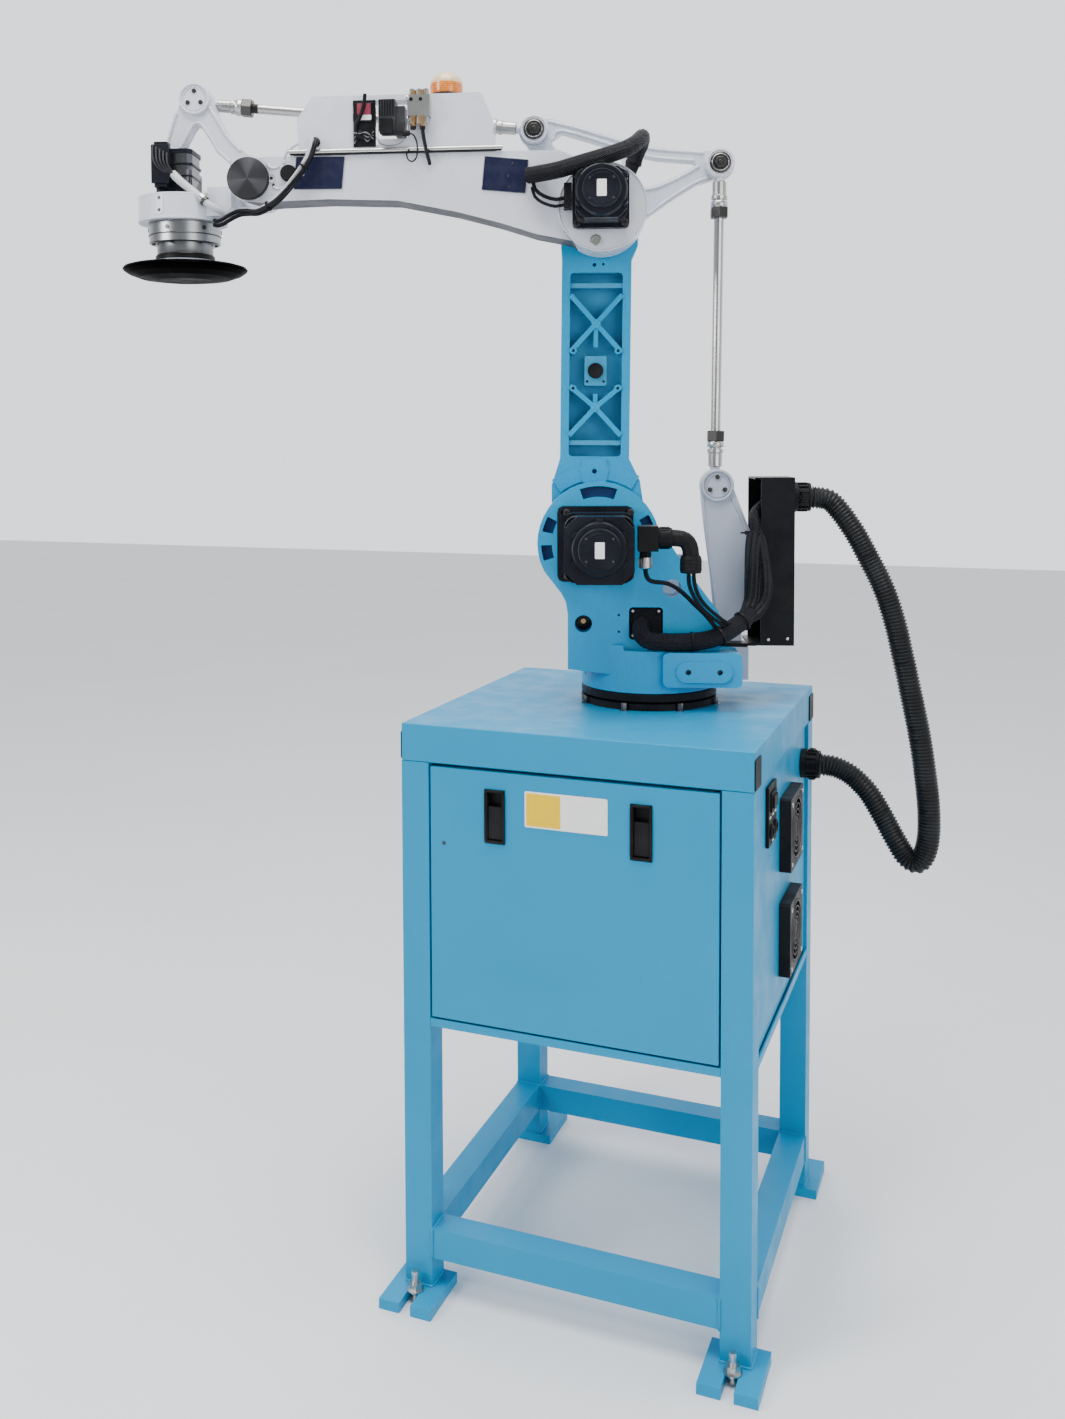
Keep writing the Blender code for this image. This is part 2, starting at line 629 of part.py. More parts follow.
def upright(parent, paint):
    """Casting from shoulder to elbow: a deep pocket on the motor side with cross ribs standing in it."""
    cx, half, wide = -0.0080, 0.0630, 0.0475
    body = (
        circle(0, 0, 0.098, 24, 150, 390)
        + [(0.075, 0.110), (cx + half, 0.150), (cx + half, 0.510), (0.066, 0.535)]
        + circle(0, LINK_1, 0.070, 20, -20, 200)
        + [(cx - half - 0.002, 0.535), (cx - half, 0.510), (cx - half, 0.150), (-0.086, 0.100)]
    )
    face, floor = -UPRIGHT_Y, -UPRIGHT_Y + 0.030
    back, front = floor + 0.003, face + 0.004
    ribs = [
        rib((cx - wide - 0.002, z), (cx + wide + 0.002, z), front, back, 0.0085) for z in (0.179, 0.464)
    ]
    for middle, high, low in ((0.395, 0.447, 0.343), (0.243, 0.282, 0.192)):
        for side in (-1, 1):
            for z in (high, low):
                ribs.append(rib((cx, middle), (cx + side * (wide + 0.002), z), front, back, 0.0058))
    pad = [(-0.034, 0.129), (-0.029, 0.106), (0.013, 0.106), (0.018, 0.129), (0.012, 0.150), (-0.028, 0.150)]
    square = rounded(cx - 0.0200, cx + 0.0200, 0.283, 0.337, 0.003, 2)
    collar = circle(0, 0, 0.140, 10, 58, 128) + circle(0, 0, 0.112, 10, 58, 128)[::-1]
    return node(
        "upright", parent, paint,
        prism(body, face, UPRIGHT_Y),
        adds=[
            cylinder(0, 0, 0.0500, CHEEK_Y1 - 0.028, face + 0.005),
            cylinder(0, LINK_1, 0.0300, ARM_Y1 - 0.030, face + 0.005, count=28),
            cylinder(0, LINK_1, 0.0200, UPRIGHT_Y - 0.005, CRANK_Y1 + 0.004, count=24),
            prism(collar, face - 0.0030, face + 0.002),
            prism(pad, face - 0.0050, face + 0.002),
        ],
        cuts=[
            prism(rounded(cx - wide, cx + wide, 0.154, 0.487, 0.006, 2), face - 0.01, floor),
            cylinder(cx, 0.127, 0.0045, face - 0.01, face + 0.012, count=12),
            cylinder(cx + 0.012, 0.502, 0.0025, face - 0.01, face + 0.012, count=8),
            cylinder(cx - 0.004, 0.501, 0.0035, face - 0.01, face + 0.012, count=10),
        ],
        late=[*ribs, prism(square, face + 0.008, back)],
        last=[cylinder(cx, 0.310, 0.0118, face - 0.01, floor + 0.006, count=20)],
    )


def eye_pin(x, z):
    """Pin from the crank or wrist plate through a rod's eye, with its retaining washer."""
    return turned(
        [(PIN_R, ROD_Y - EYE_T / 2 - 0.0050), (PIN_R, CRANK_Y0 + 0.006)], x, z, "Y", 20,
    )


def bell_crank(parent, paint):
    """Plate that keeps the wrist level: it swings about the elbow, held by the long rod."""
    rx, rz, fx, fz = REAR_PIVOT.x, REAR_PIVOT.z, FORE_PIVOT.x, FORE_PIVOT.z
    outline = (
        circle(rx, rz, 0.0275, 12, -110, 85)
        + [(0.180, 0.126), (0.110, 0.134), (0.060, 0.144), (-0.040, 0.176), (-0.095, 0.192)]
        + circle(fx, fz, 0.0275, 12, 60, 235)
        + circle(0, 0, 0.0480, 12, 175, 300)
        + [(0.090, 0.010), (0.140, 0.044), (0.180, 0.067)]
    )
    window = [(0.070, 0.060), (0.105, 0.066), (0.150, 0.086), (0.176, 0.101), (0.170, 0.106),
        (0.105, 0.112), (0.060, 0.122)]
    window_2 = [(0.036, 0.060), (0.040, 0.130), (-0.072, 0.165), (-0.094, 0.150), (-0.030, 0.052),
        (-0.004, 0.062), (0.016, 0.064)]
    return node(
        "bell_crank", parent, paint,
        prism(outline, CRANK_Y0, CRANK_Y1),
        adds=[eye_pin(rx, rz), eye_pin(fx, fz)],
        cuts=[
            prism(window, CRANK_Y0 - 0.01, CRANK_Y1 + 0.01),
            prism(window_2, CRANK_Y0 - 0.01, CRANK_Y1 + 0.01),
            cylinder(0, 0, 0.0206, CRANK_Y0 - 0.01, CRANK_Y1 + 0.01, count=24),
        ],
    )


def rod(name, parent, paint, along, length, radius, eye_r, collar, nut):
    """A tie rod: two bored eyes, their sockets, lock nuts and the bar between. along is "Z" or "-X"."""
    y0, y1 = ROD_Y - EYE_T / 2, ROD_Y + EYE_T / 2
    profile = [
        (0.0092, eye_r * 0.70), (0.0092, 0.0320), (collar * 0.86, 0.0350), (collar * 0.86, 0.058),
        (collar, 0.060), (collar, 0.066), (radius * 0.8, 0.0665), (radius * 0.8, 0.070),
        (nut, 0.0705), (nut, 0.084), (radius, 0.0845),
    ]
    profile += [(r, length - h) for r, h in reversed(profile)]
    bar = turned(profile, 0, ROD_Y, "Z", 16)
    far = (0.0, length)
    if along == "-X":
        bar.transform(Matrix.Rotation(math.radians(-90), 4, "Y"))
        far = (-length, 0.0)
    return node(
        name, parent, paint, bar,
        adds=[cylinder(a, b, eye_r, y0, y1, count=24) for a, b in ((0, 0), far)],
        cuts=[cylinder(a, b, PIN_R + PIN_GAP, y0 - 0.01, y1 + 0.01, count=20) for a, b in ((0, 0), far)],
    )


def forearm(parent, paint):
    """Hollow-backed arched casting from the elbow disc to the wrist pivot."""
    outline = (
        circle(0, 0, 0.0700, 14, -115, 100)
        + [(-0.085, 0.0935), (-0.600, 0.0420)]
        + circle(-LINK_2, 0, 0.0400, 12, 75, 260)
        + [(-0.6050, -0.0395), (-0.5774, -0.0350), (-0.4848, -0.0235), (-0.3625, -0.0163),
           (-0.2546, -0.0275),
           (-0.1768, -0.0405), (-0.1100, -0.0550)]
    )
    inside = [
        (-0.110, 0.0840), (-0.570, 0.0345), (-0.570, -0.0275), (-0.4848, -0.0165), (-0.3625, -0.0093),
        (-0.2546, -0.0205), (-0.1768, -0.0335), (-0.110, -0.0470),
    ]
    return node(
        "forearm", parent, paint,
        prism(outline, ARM_Y0, ARM_Y1),
        adds=[turned([(DISC_R, ARM_Y0 - 0.014), (DISC_R, ARM_Y1 - 0.010)], 0, 0, "Y", 40)],
        cuts=[
            prism(inside, ARM_Y0 + 0.008, ARM_Y1 + 0.01),
            cylinder(0, 0, 0.0308, ARM_Y1 - 0.032, ARM_Y1 + 0.01, count=28),
            cylinder(-LINK_2, 0, 0.0186, -0.066, ARM_Y1 + 0.01, count=24),
            cylinder(-0.006, -0.060, 0.0050, -0.13, -0.112, count=6),
        ],
    )


def deck_pieces(deck, paints):
    """Sheet tray on the forearm with the rail under it, and its valve, switch and beacon."""
    y0, y1, t = -0.106, -0.040, 0.0015
    z0, z1 = 0.0105, 0.103
    outer = [(-0.176, z0), (0.170, z0), (0.172, 0.052), (0.150, z1), (-0.150, z1), (-0.178, 0.064)]
    inner = [(-0.174, z0 + t), (0.168, z0 + t), (0.170, 0.052), (0.149, z1 - t), (-0.149, z1 - t),
        (-0.176, 0.064)]
    node(
        "tray", deck, paints["white"],
        prism(outer, y0, y1),
        cuts=[
            prism(inner, y0 + t, y1 + 0.01),
            box(-0.0776, -0.0330, y0 - 0.01, y0 + 0.01, 0.016, 0.0935),
            box(-0.0320, 0.0200, y0 - 0.01, y0 + 0.01, 0.026, 0.0930),
        ],
        late=[box(-0.186, 0.174, y0 - 0.002, y1 + 0.002, 0.0010, 0.0110)],
        smooth=False,
    )
    node(
        "pressure_switch", deck, paints["black"],
        box(-0.0740, -0.0400, y0 - 0.004, y0 + 0.030, 0.054, 0.090), bevel=0.0015, smooth=False,
    )
    node(
        "solenoid_valve", deck, paints["silver"],
        box(0.0225, 0.0620, y0 - 0.0240, y0 - GAP, 0.060, 0.096),
        adds=[cylinder(x, y0 - 0.012, 0.0052, 0.048, 0.108, "Z", 10) for x in (0.030, 0.042, 0.054)],
        smooth=False,
    )
    node(
        "valve_coil", deck, paints["black"],
        box(-0.0290, 0.0000, y0 - 0.018, y0 + 0.020, 0.036, 0.091),
        adds=[box(-0.001, 0.0165, y0 - 0.012, y0 + 0.020, 0.030, 0.080)],
        smooth=False,
    )
    node(
        "beacon", deck, paints["amber"],
        turned([(0.0275, z1 + GAP), (0.0275, z1 + 0.008), (0.0260, z1 + 0.0085), (0.0240, z1 + 0.020),
                (0.0180, z1 + 0.029), (0.0090, z1 + 0.034)], 0.086, -0.073, "Z", 24),
    )


def covers(parent, paint):
    """Two sheet covers screwed to the face of the forearm."""
    for index, outline in enumerate(COVERS, 1):
        node(
            f"arm_cover_{index}", parent, paint, prism(outline, ARM_Y0 - 0.0030, ARM_Y0 - GAP),
            bevel=0.0008, smooth=False,
        )


def wrist(parent, paint):
    """Casting that hangs level from the forearm: pivot hub, triangular lever and flange housing."""
    qx, qz, tx = FORE_PIVOT.x, FORE_PIVOT.z, TOOL_X
    front, back = -0.008, ROD_Y - EYE_T / 2 - 0.002
    lever = (
        circle(qx, qz, 0.0300, 14, -5, 195)
        + [(-0.180, 0.095), (-0.186, 0.079), (-0.149, 0.079), (-0.131, 0.111), (-0.124, 0.121),
           (-0.114, 0.119),
           (-0.096, 0.091), (-0.084, 0.070), (-0.062, 0.050), (-0.044, 0.018), (0.010, 0.018),
           (0.000, 0.042),
           (-0.036, 0.074), (-0.060, 0.099), (-0.073, 0.120)]
    )
    web = [(-0.110, -0.013), (-0.046, -0.013), (-0.046, -0.040), (-0.062, -0.054), (-0.110, -0.056)]
    return node(
        "wrist", parent, paint,
        prism(lever, front, back),
        adds=[
            cylinder(0, 0, 0.0400, -0.026, 0.020, count=28),
            cylinder(0, 0, 0.0180, -0.064, -0.020, count=24),
            cylinder(qx, qz, 0.0290, front - 0.006, front + 0.004, count=28),
            cylinder(qx, qz, PIN_R, back - 0.004, ROD_Y + EYE_T / 2 + 0.003, count=20),
            box(-0.185, -0.150, front, 0.074, 0.0770, 0.088),
            box(-0.185, -0.150, 0.052, 0.074, -0.020, 0.086),
            cylinder(tx - 0.003, 0, HOUSING_R, HOUSING_Z0, HOUSING_Z1, "Z", 40),
            box(-0.100, -0.020, -0.022, 0.020, -0.034, 0.004),
            prism(web, -0.056, 0.010),
        ],
        cuts=[
            cylinder(qx + 0.0135 * math.cos(t), qz + 0.0135 * math.sin(t), 0.0034, front - 0.02,
                front - 0.002, count=10)
            for t in (math.radians(90), math.radians(210), math.radians(330))
        ],
    )


def pivot_cap(parent, paint):
    """Round cap over the wrist pivot, on the face of the forearm."""
    face = ARM_Y0 - CAP_PROUD
    node(
        "pivot_cap", parent, paint,
        turned([(CAP_R - 0.0015, face), (CAP_R, face + 0.0015), (CAP_R, ARM_Y0 - GAP)], -LINK_2, 0, "Y", 32),
    )


def j4_motor(parent, paint):
    """Square motor standing on the flange housing, with its connector block on the left."""
    foot = HOUSING_Z1 + GAP
    node(
        "j4_motor", parent, paint,
        prism(rounded(-0.1930, -0.1250, -0.0400, 0.0400, 0.008, 2), foot, 0.034, "Z"),
        adds=[
            prism(rounded(-0.1920, -0.1260, -0.0380, 0.0350, 0.014, 3), 0.030, 0.0725, "Z"),
            prism(rounded(-0.1900, -0.1640, -0.0560, -0.0300, 0.004, 2), 0.000, 0.0815, "Z"),
        ],
    )


def strand(points, radius, sides=10):
    """A cable along a smooth curve through the points."""
    return swept(smooth_path(points, 2), radius, sides)


def harness(parent, paint):
    """Cables that the turret carries: from the plug in its casting, round its foot and up into the duct."""
    trunk = [
        (-0.0120, -0.0800, 0.1540), (-0.0190, -0.1040, 0.1480), (-0.0170, -0.1180, 0.1340),
        (-0.0030, -0.1225, 0.1250), (0.0245, -0.1225, 0.1232), (0.0574, -0.1215, 0.1234),
        (0.0903, -0.1200, 0.1260), (0.1188, -0.1175, 0.1345), (0.1420, -0.1070, 0.1464),
        (0.1651, -0.0920, 0.1613), (0.1729, -0.0820, 0.1712),
    ]
    near_lobe = [
        (0.1651, -0.0920, 0.1613), (0.1745, -0.0755, 0.1744), (0.1803, -0.0670, 0.1940),
        (0.1819, -0.0650, 0.2276), (0.1824, -0.0650, 0.2613), (0.1836, -0.0640, 0.2903),
        (0.1864, -0.0625, 0.3130),
    ]
    far_lobe = [
        (0.1651, -0.0920, 0.1613), (0.1850, -0.0790, 0.1680), (0.1986, -0.0700, 0.1855),
        (0.2047, -0.0670, 0.2101), (0.2041, -0.0665, 0.2370), (0.2007, -0.0660, 0.2639),
        (0.1948, -0.0650, 0.2951), (0.1880, -0.0625, 0.3150),
    ]
    neck = [
        (0.1866, -0.0630, 0.3060), (0.1866, -0.0570, 0.3260), (0.1866, -0.0420, 0.3400),
        (0.1950, -0.0240, 0.3520), (0.2120, -0.0080, 0.3640), (0.2330, 0.0000, 0.3735),
    ]
    motor_lead = [
        (0.0585, -0.1850, 0.2515), (0.0592, -0.1820, 0.2331), (0.0693, -0.1700, 0.2080),
        (0.0847, -0.1540, 0.1866), (0.1058, -0.1360, 0.1669), (0.1292, -0.1200, 0.1510),
        (0.1440, -0.1070, 0.1470),
    ]
    brake_lead = [
        (0.0668, -0.1850, 0.2515), (0.0686, -0.1820, 0.2331), (0.0757, -0.1700, 0.2124),
        (0.0890, -0.1540, 0.1932), (0.1101, -0.1360, 0.1735), (0.1335, -0.1200, 0.1560),
        (0.1560, -0.0980, 0.1550),
    ]
    encoder_lead = [
        (-0.0150, -0.1780, 0.2700), (-0.0140, -0.1760, 0.2500), (-0.0090, -0.1720, 0.2390),
        (0.0022, -0.1660, 0.2344), (0.0262, -0.1600, 0.2306), (0.0504, -0.1520, 0.2146),
        (0.0705, -0.1440, 0.1941), (0.0932, -0.1320, 0.1718), (0.1180, -0.1190, 0.1400),
    ]
    return node(
        "harness", parent, paint,
        box(-0.0380, 0.0180, -0.0960, -0.0520, 0.1260, 0.1800),
        adds=[
            strand(trunk, 0.0160, 12), strand(near_lobe, 0.0135, 12),
            strand(far_lobe, 0.0105), strand(neck, 0.0100),
            strand(motor_lead, 0.0035, 8), strand(brake_lead, 0.0035, 8), strand(encoder_lead, 0.0040, 8),
            turned([(0.0080, 0.2580), (0.0100, 0.2610), (0.0100, 0.2895)], -0.0150, -0.1780, "Z", 20),
        ],
    )


def arm_sleeve(parent, paint):
    """Cable sleeve over the elbow from its clip on the forearm, with the elbow motor's leads and plug."""
    sleeve = [
        (-0.1345, -0.1215, 0.0420), (-0.1045, -0.1350, 0.0467), (-0.0853, -0.1490, 0.0491),
        (-0.0702, -0.1540, 0.0533), (-0.0371, -0.1545, 0.0664), (-0.0039, -0.1500, 0.0799),
        (0.0293, -0.1330, 0.0977), (0.0490, -0.1080, 0.1164), (0.0572, -0.0800, 0.1320),
        (0.0568, -0.0560, 0.1240), (0.0500, -0.0460, 0.1060), (0.0480, -0.0460, 0.0900),
    ]
    lead = [
        (-0.1250, -0.1215, 0.0350), (-0.1190, -0.1225, 0.0190), (-0.1027, -0.1280, 0.0078),
        (-0.0812, -0.1320, 0.0030), (-0.0620, -0.1340, 0.0080),
    ]
    lower = [(x, y, z - 0.0120) for x, y, z in lead]
    clip = [(0.0330, 0.0960), (0.0615, 0.0975), (0.0500, 0.0625), (0.0340, 0.0712)]
    plug = [(-0.0700, 0.0300), (-0.0568, 0.0315), (-0.0528, -0.0120), (-0.0660, -0.0135)]
    return node(
        "arm_sleeve", parent, paint, prism(clip, -0.0560, -0.0360),
        adds=[
            strand(sleeve, 0.0145, 12), strand(lead, 0.0035, 8), strand(lower, 0.0030, 8),
            prism(plug, -0.1460, -0.1240),
        ],
    )


def wrist_hoses(parent, paint):
    """Air hoses from the tray's grommet to the flange housing, bound together as one bundle."""
    route = [
        (-0.5169, -0.1085, 0.0739), (-0.5168, -0.1185, 0.0725), (-0.5203, -0.1260, 0.0450),
        (-0.5311, -0.1290, 0.0205), (-0.5442, -0.1300, -0.0008), (-0.5575, -0.1300, -0.0193),
        (-0.5737, -0.1280, -0.0370), (-0.5907, -0.1220, -0.0489), (-0.6083, -0.1150, -0.0565),
        (-0.6269, -0.1080, -0.0570), (-0.6454, -0.0980, -0.0585), (-0.6660, -0.0800, -0.0650),
        (-0.6830, -0.0620, -0.0715), (-0.6960, -0.0490, -0.0738), (-0.7033, -0.0433, -0.0725),
    ]
    return node("wrist_hoses", parent, paint, strand(route, 0.0085))


def tool_pieces(parent, paints):
    """The rotating output: flange ring, neck and the flat suction disc, about their own axis."""
    collar = [(0.0590, -0.1335), (0.0600, -0.1325), (0.0600, -0.1305), (0.0547, -0.1295), (0.0547, -0.1206)]
    neck = [(0.0515, -0.1196), (0.0515, -0.0985)]
    ring = [
        (0.0650, -0.0980), (0.0655, -0.0975), (0.0655, -0.0845), (0.0645, -0.0842), (0.0645, -0.0834),
        (0.0660, -0.0831), (0.0665, -0.0630), (0.0660, -0.0625),
    ]
    top = [(0.0600, -0.0622), (0.0600, HOUSING_Z0 - GAP)]
    node("tool_flange", parent, paints["silver"], turned(collar + neck + ring + top, 0, 0, "Z", 40))
    node(
        "suction_disc", parent, paints["black"],
        turned([(0.0500, -0.1655), (0.0850, -0.1610), (0.1040, -0.1540), (0.1130, -0.1480),
            (0.1150, -0.1447),
                (0.1120, -0.1405), (0.1000, -0.1370), (0.0800, -0.1350), (0.0560, -0.1340)], 0, 0, "Z", 48),
    )


def build():
    for old in list(bpy.data.objects):
        bpy.data.objects.remove(old, do_unlink=True)
    cabinet = material("cabinet_paint", CABINET_BLUE, 0.45)
    blue = material("robot_paint", BLUE, 0.35)
    white = material("white_paint", WHITE, 0.35)
    grey = material("grey_paint", GREY, 0.40)
    black = material("black_plastic", BLACK, 0.50)
    motor_paint = material("motor_paint", MOTOR, 0.40)
    navy = material("navy_cover", NAVY, 0.45)
    silver = material("bare_steel", SILVER, 0.35, 1.0)
    rubber = material("hose_plastic", BLACK, 0.60)
    amber = material("amber_lens", AMBER, 0.25)
    paints = {"white": white, "grey": grey, "black": black, "motor": motor_paint, "silver": silver,
        "amber": amber}

    stand = empty("stand_origin", None, (STAND_X, STAND_Y, 0.0))
    for end, end_name in ((-1, "f"), (1, "b")):
        for side, side_name in ((-1, "l"), (1, "r")):
            leg(f"leg_{end_name}{side_name}", stand, cabinet, side, end)
            anchor(f"anchor_{end_name}{side_name}", stand, silver, side, end)
    for name, along, sign in (("rail_front", "X", -1), ("rail_back", "X", 1), ("rail_left", "Y", -1),
        ("rail_right", "Y", 1)):
        rail(name, stand, cabinet, along, sign)
    top_cap(stand, cabinet)
    floor_pan(stand, cabinet)
    side_panels(stand, cabinet)
    door_frame(stand, cabinet)
    door_axis = empty("door_axis", stand, (0.0, HINGE_Y, HINGE_Z))
    door(door_axis, cabinet)
    for index, x in enumerate(LATCH_X, 1):
        latch(index, x, door_axis, black, black)
    for index, z in enumerate(FAN_Z, 1):
        fan(index, z, stand, black, black)
    out = HALF - PANEL_IN
    node(
        "switch_plate", stand, black,
        box(out + GAP, out + 0.006, SWITCH_Y - 0.036, SWITCH_Y + 0.036, SWITCH_Z - 0.050, SWITCH_Z + 0.050),
        bevel=0.001, smooth=False,
    )
    drive_unit(stand, grey)
    low_gland = empty("low_gland_place", stand, (out, GLAND_Y, GLAND_Z))
    gland("gland_low", low_gland, black)

    base = empty("base_place", stand, (J1_X, J1_Y, TOP_Z))
    base_ring(base, black)
    j1 = empty("j1_axis", stand, (J1_X, J1_Y, TOP_Z), J1_REST, "Z")
    turret_ring(j1, black)
    turret(j1, blue)
    j2_motor_place = empty("j2_motor_place", j1, SHOULDER)
    motor("j2_motor", j2_motor_place, motor_paint, CHEEK_Y0 - GAP, 0.067, 0.158, 0.035, -0.006)
    j2_connector(j1, black)
    link_bracket(j1, grey)
    column(j1, black)
    high_gland = empty("high_gland_place", j1, (COLUMN_X1, 0.0, GLAND_HIGH_Z))
    gland("gland_high", high_gland, black)
    harness(j1, rubber)

    j2 = empty("j2_axis", j1, SHOULDER, TILT_1)
    upright(j2, blue)
    elbow = empty("elbow_axis", j2, (0.0, 0.0, LINK_1), -TILT_1)
    bell_crank(elbow, white)
    j3 = empty("j3_axis", elbow, (0.0, 0.0, 0.0), TILT_2)
    forearm(j3, white)
    j3_motor_place = empty("j3_motor_place", j3, (-0.004, 0.0, 0.009), -TILT_2)
    motor("j3_motor", j3_motor_place, motor_paint, ARM_Y0 - 0.014 - GAP, 0.049, 0.120, 0.031)
    covers(j3, navy)
    pivot_cap(j3, black)
    arm_sleeve(j3, rubber)
    wrist_hoses(j3, rubber)
    deck = empty("deck_place", j3, DECK, DECK_TURN)
    deck_pieces(deck, paints)
    rod_1_axis = empty("rod_1_axis", j1, SHOULDER + REAR_PIVOT, TILT_1)
    rod("rod_1", rod_1_axis, silver, "Z", LINK_1, ROD_1_R, 0.0270, 0.0150, 0.0140)
    rod_2_axis = empty("rod_2_axis", elbow, FORE_PIVOT, TILT_2)
    rod("rod_2", rod_2_axis, silver, "-X", LINK_2, ROD_2_R, 0.0250, 0.0135, 0.0125)
    wrist_axis = empty("wrist_axis", j3, (-LINK_2, 0.0, 0.0), -TILT_2)
    wrist(wrist_axis, white)
    j4_motor(wrist_axis, motor_paint)
    tool_axis = empty("tool_axis", wrist_axis, (TOOL_X, 0.0, 0.0))
    tool_pieces(tool_axis, paints)

    bpy.context.view_layer.update()
    start = stand.matrix_world.inverted() @ high_gland.matrix_world @ Vector((0.0355, 0.0, 0.0))
    hose(stand, rubber, start, low_gland.location + Vector((0.0355, 0.0, 0.0)))


build()
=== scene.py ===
"""Looks of the palletising robot arm on its cabinet: finishes, cables and small fittings on the fixed frame.

Metres, +Z up. Each group of pieces is built in the frame of the link it sits on: x runs from the tool to the
back of the arm, y away from the motors, z up.
"""

import json
from math import atan, cos, hypot, pi, radians, sin

import bmesh
import bpy
from mathutils import Matrix, Vector


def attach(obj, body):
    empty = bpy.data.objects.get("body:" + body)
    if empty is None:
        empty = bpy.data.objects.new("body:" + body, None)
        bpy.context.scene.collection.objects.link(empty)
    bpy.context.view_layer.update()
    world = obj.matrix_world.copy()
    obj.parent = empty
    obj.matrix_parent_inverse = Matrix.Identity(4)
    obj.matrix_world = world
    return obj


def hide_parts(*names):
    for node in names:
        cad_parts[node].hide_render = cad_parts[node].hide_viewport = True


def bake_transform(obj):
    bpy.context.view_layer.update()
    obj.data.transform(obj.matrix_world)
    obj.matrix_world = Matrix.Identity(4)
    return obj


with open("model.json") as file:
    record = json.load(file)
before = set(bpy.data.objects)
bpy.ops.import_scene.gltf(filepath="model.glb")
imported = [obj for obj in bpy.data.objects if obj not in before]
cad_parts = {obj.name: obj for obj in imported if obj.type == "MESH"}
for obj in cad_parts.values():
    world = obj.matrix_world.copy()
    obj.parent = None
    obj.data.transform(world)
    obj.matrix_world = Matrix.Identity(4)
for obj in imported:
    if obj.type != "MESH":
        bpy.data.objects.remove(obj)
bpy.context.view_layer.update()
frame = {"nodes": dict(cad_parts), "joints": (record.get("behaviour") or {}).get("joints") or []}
nodes = frame["nodes"]
joints = {joint["name"]: Vector(joint["pos_m"]) for joint in frame["joints"]}


# ---------------------------------------------------------------- places
def spin(degrees, axis="Z"):
    return Matrix.Rotation(radians(degrees), 4, axis)


def facing(way):
    """Turns +Z to the given way."""
    return Vector(way).to_track_quat("Z", "Y").to_matrix().to_4x4()


def at(x, y, z, turn=Matrix()):
    return Matrix.Translation((x, y, z)) @ turn


REST = radians(18.0)  # how far the arm is swung round its base at rest
TILT_1, TILT_2 = radians(0.68), radians(5.6)  # the upright's and the forearm's lean at rest
LINK_1, LINK_2 = 0.59, 0.631  # the tie rods, from pivot to pivot
HALF = 0.3  # half of the stand's width and depth
FRONT_Y = -HALF
MOTOR_FACE = -0.1005  # where the shoulder motor meets the turret's cheek
ARM_FACE = -0.106  # the forearm's face on the motor side
CRANK_FACE = 0.044  # the bell crank's face on the motor side
ROD_Y = 0.03  # the tie rods' middle plane
CAP_CENTRE = Vector((0.0, -0.118, 0.0))  # of the wrist pivot's turned cap, in the wrist's frame
FRONT = spin(90, "X")  # turns +Z towards the motor side
SIDE = spin(90, "Y")  # turns +Z to +X
DOWN = spin(180, "X")


def link_frame(joint, tilt=0.0):
    turn = Matrix.Rotation(REST, 4, "Z") @ Matrix.Rotation(tilt, 4, "Y")
    return Matrix.Translation(joints[joint]) @ turn


STAND_X = joints["door_hinge"].x
STAND = at(STAND_X, 0.0, 0.0)
TURRET = link_frame("base_turn")
UPRIGHT = link_frame("shoulder", TILT_1)
SHOULDER = link_frame("shoulder")
ELBOW = link_frame("elbow")
FOREARM = link_frame("elbow", TILT_2)
DECK = FOREARM @ at(-0.37, 0.0, 0.065, Matrix.Rotation(-atan(0.1), 4, "Y"))
WRIST = link_frame("wrist_level")
TOOL = link_frame("tool_turn")
ROD_1 = link_frame("rod_1_pivot", TILT_1)
ROD_2 = link_frame("rod_2_pivot", TILT_2)
J2_MOTOR = SHOULDER @ at(0.0, MOTOR_FACE, 0.0)
J3_MOTOR = FOREARM @ at(-0.004, ARM_FACE - 0.0145, 0.009, Matrix.Rotation(-TILT_2, 4, "Y"))


# ---------------------------------------------------------------- camera
def camera():
    """Where the photographer stood: 2 m before the door, to its right, with the lens 1.47 m up."""
    yaw, pitch, roll = 0.3896, -0.054, -0.0054
    ahead = Vector((-sin(yaw) * cos(pitch), cos(yaw) * cos(pitch), sin(pitch)))
    level = Vector((cos(yaw), sin(yaw), 0.0))
    upward = level.cross(ahead)
    right = level * cos(roll) + upward * sin(roll)
    up = upward * cos(roll) - level * sin(roll)
    data = bpy.data.cameras.new("camera")
    data.sensor_fit, data.sensor_width = "AUTO", 36.0
    data.lens = 33.5353066
    data.shift_x, data.shift_y = 0.03594785, -0.13705426
    made = bpy.data.objects.new("camera", data)
    bpy.context.scene.collection.objects.link(made)
    made.matrix_world = Matrix((right, up, -ahead)).transposed().to_4x4()
    made.location = (STAND_X + 0.67535457, -2.31055071, 1.47456888)
    bpy.context.scene.camera = made


# ---------------------------------------------------------------- mesh building
def blanks(count):
    return [bmesh.new() for _ in range(count)]


def ring_faces(bm, rings, closed=True):
    for low, high in zip(rings, rings[1:]):
        for k, corner in enumerate(low):
            j = (k + 1) % len(low)
            bm.faces.new((corner, low[j], high[j], high[k]))
    if closed:
        bm.faces.new(rings[0][::-1])
        bm.faces.new(rings[-1])


def lathe(bm, profile, place=Matrix(), count=32):
    """A solid turned about the local z axis from (radius, height) points, foot to head."""
    rings = []
    turns = [2 * pi * k / count for k in range(count)]
    for radius, height in profile:
        points = [place @ Vector((radius * cos(t), radius * sin(t), height)) for t in turns]
        rings.append([bm.verts.new(point) for point in points])
    ring_faces(bm, rings)


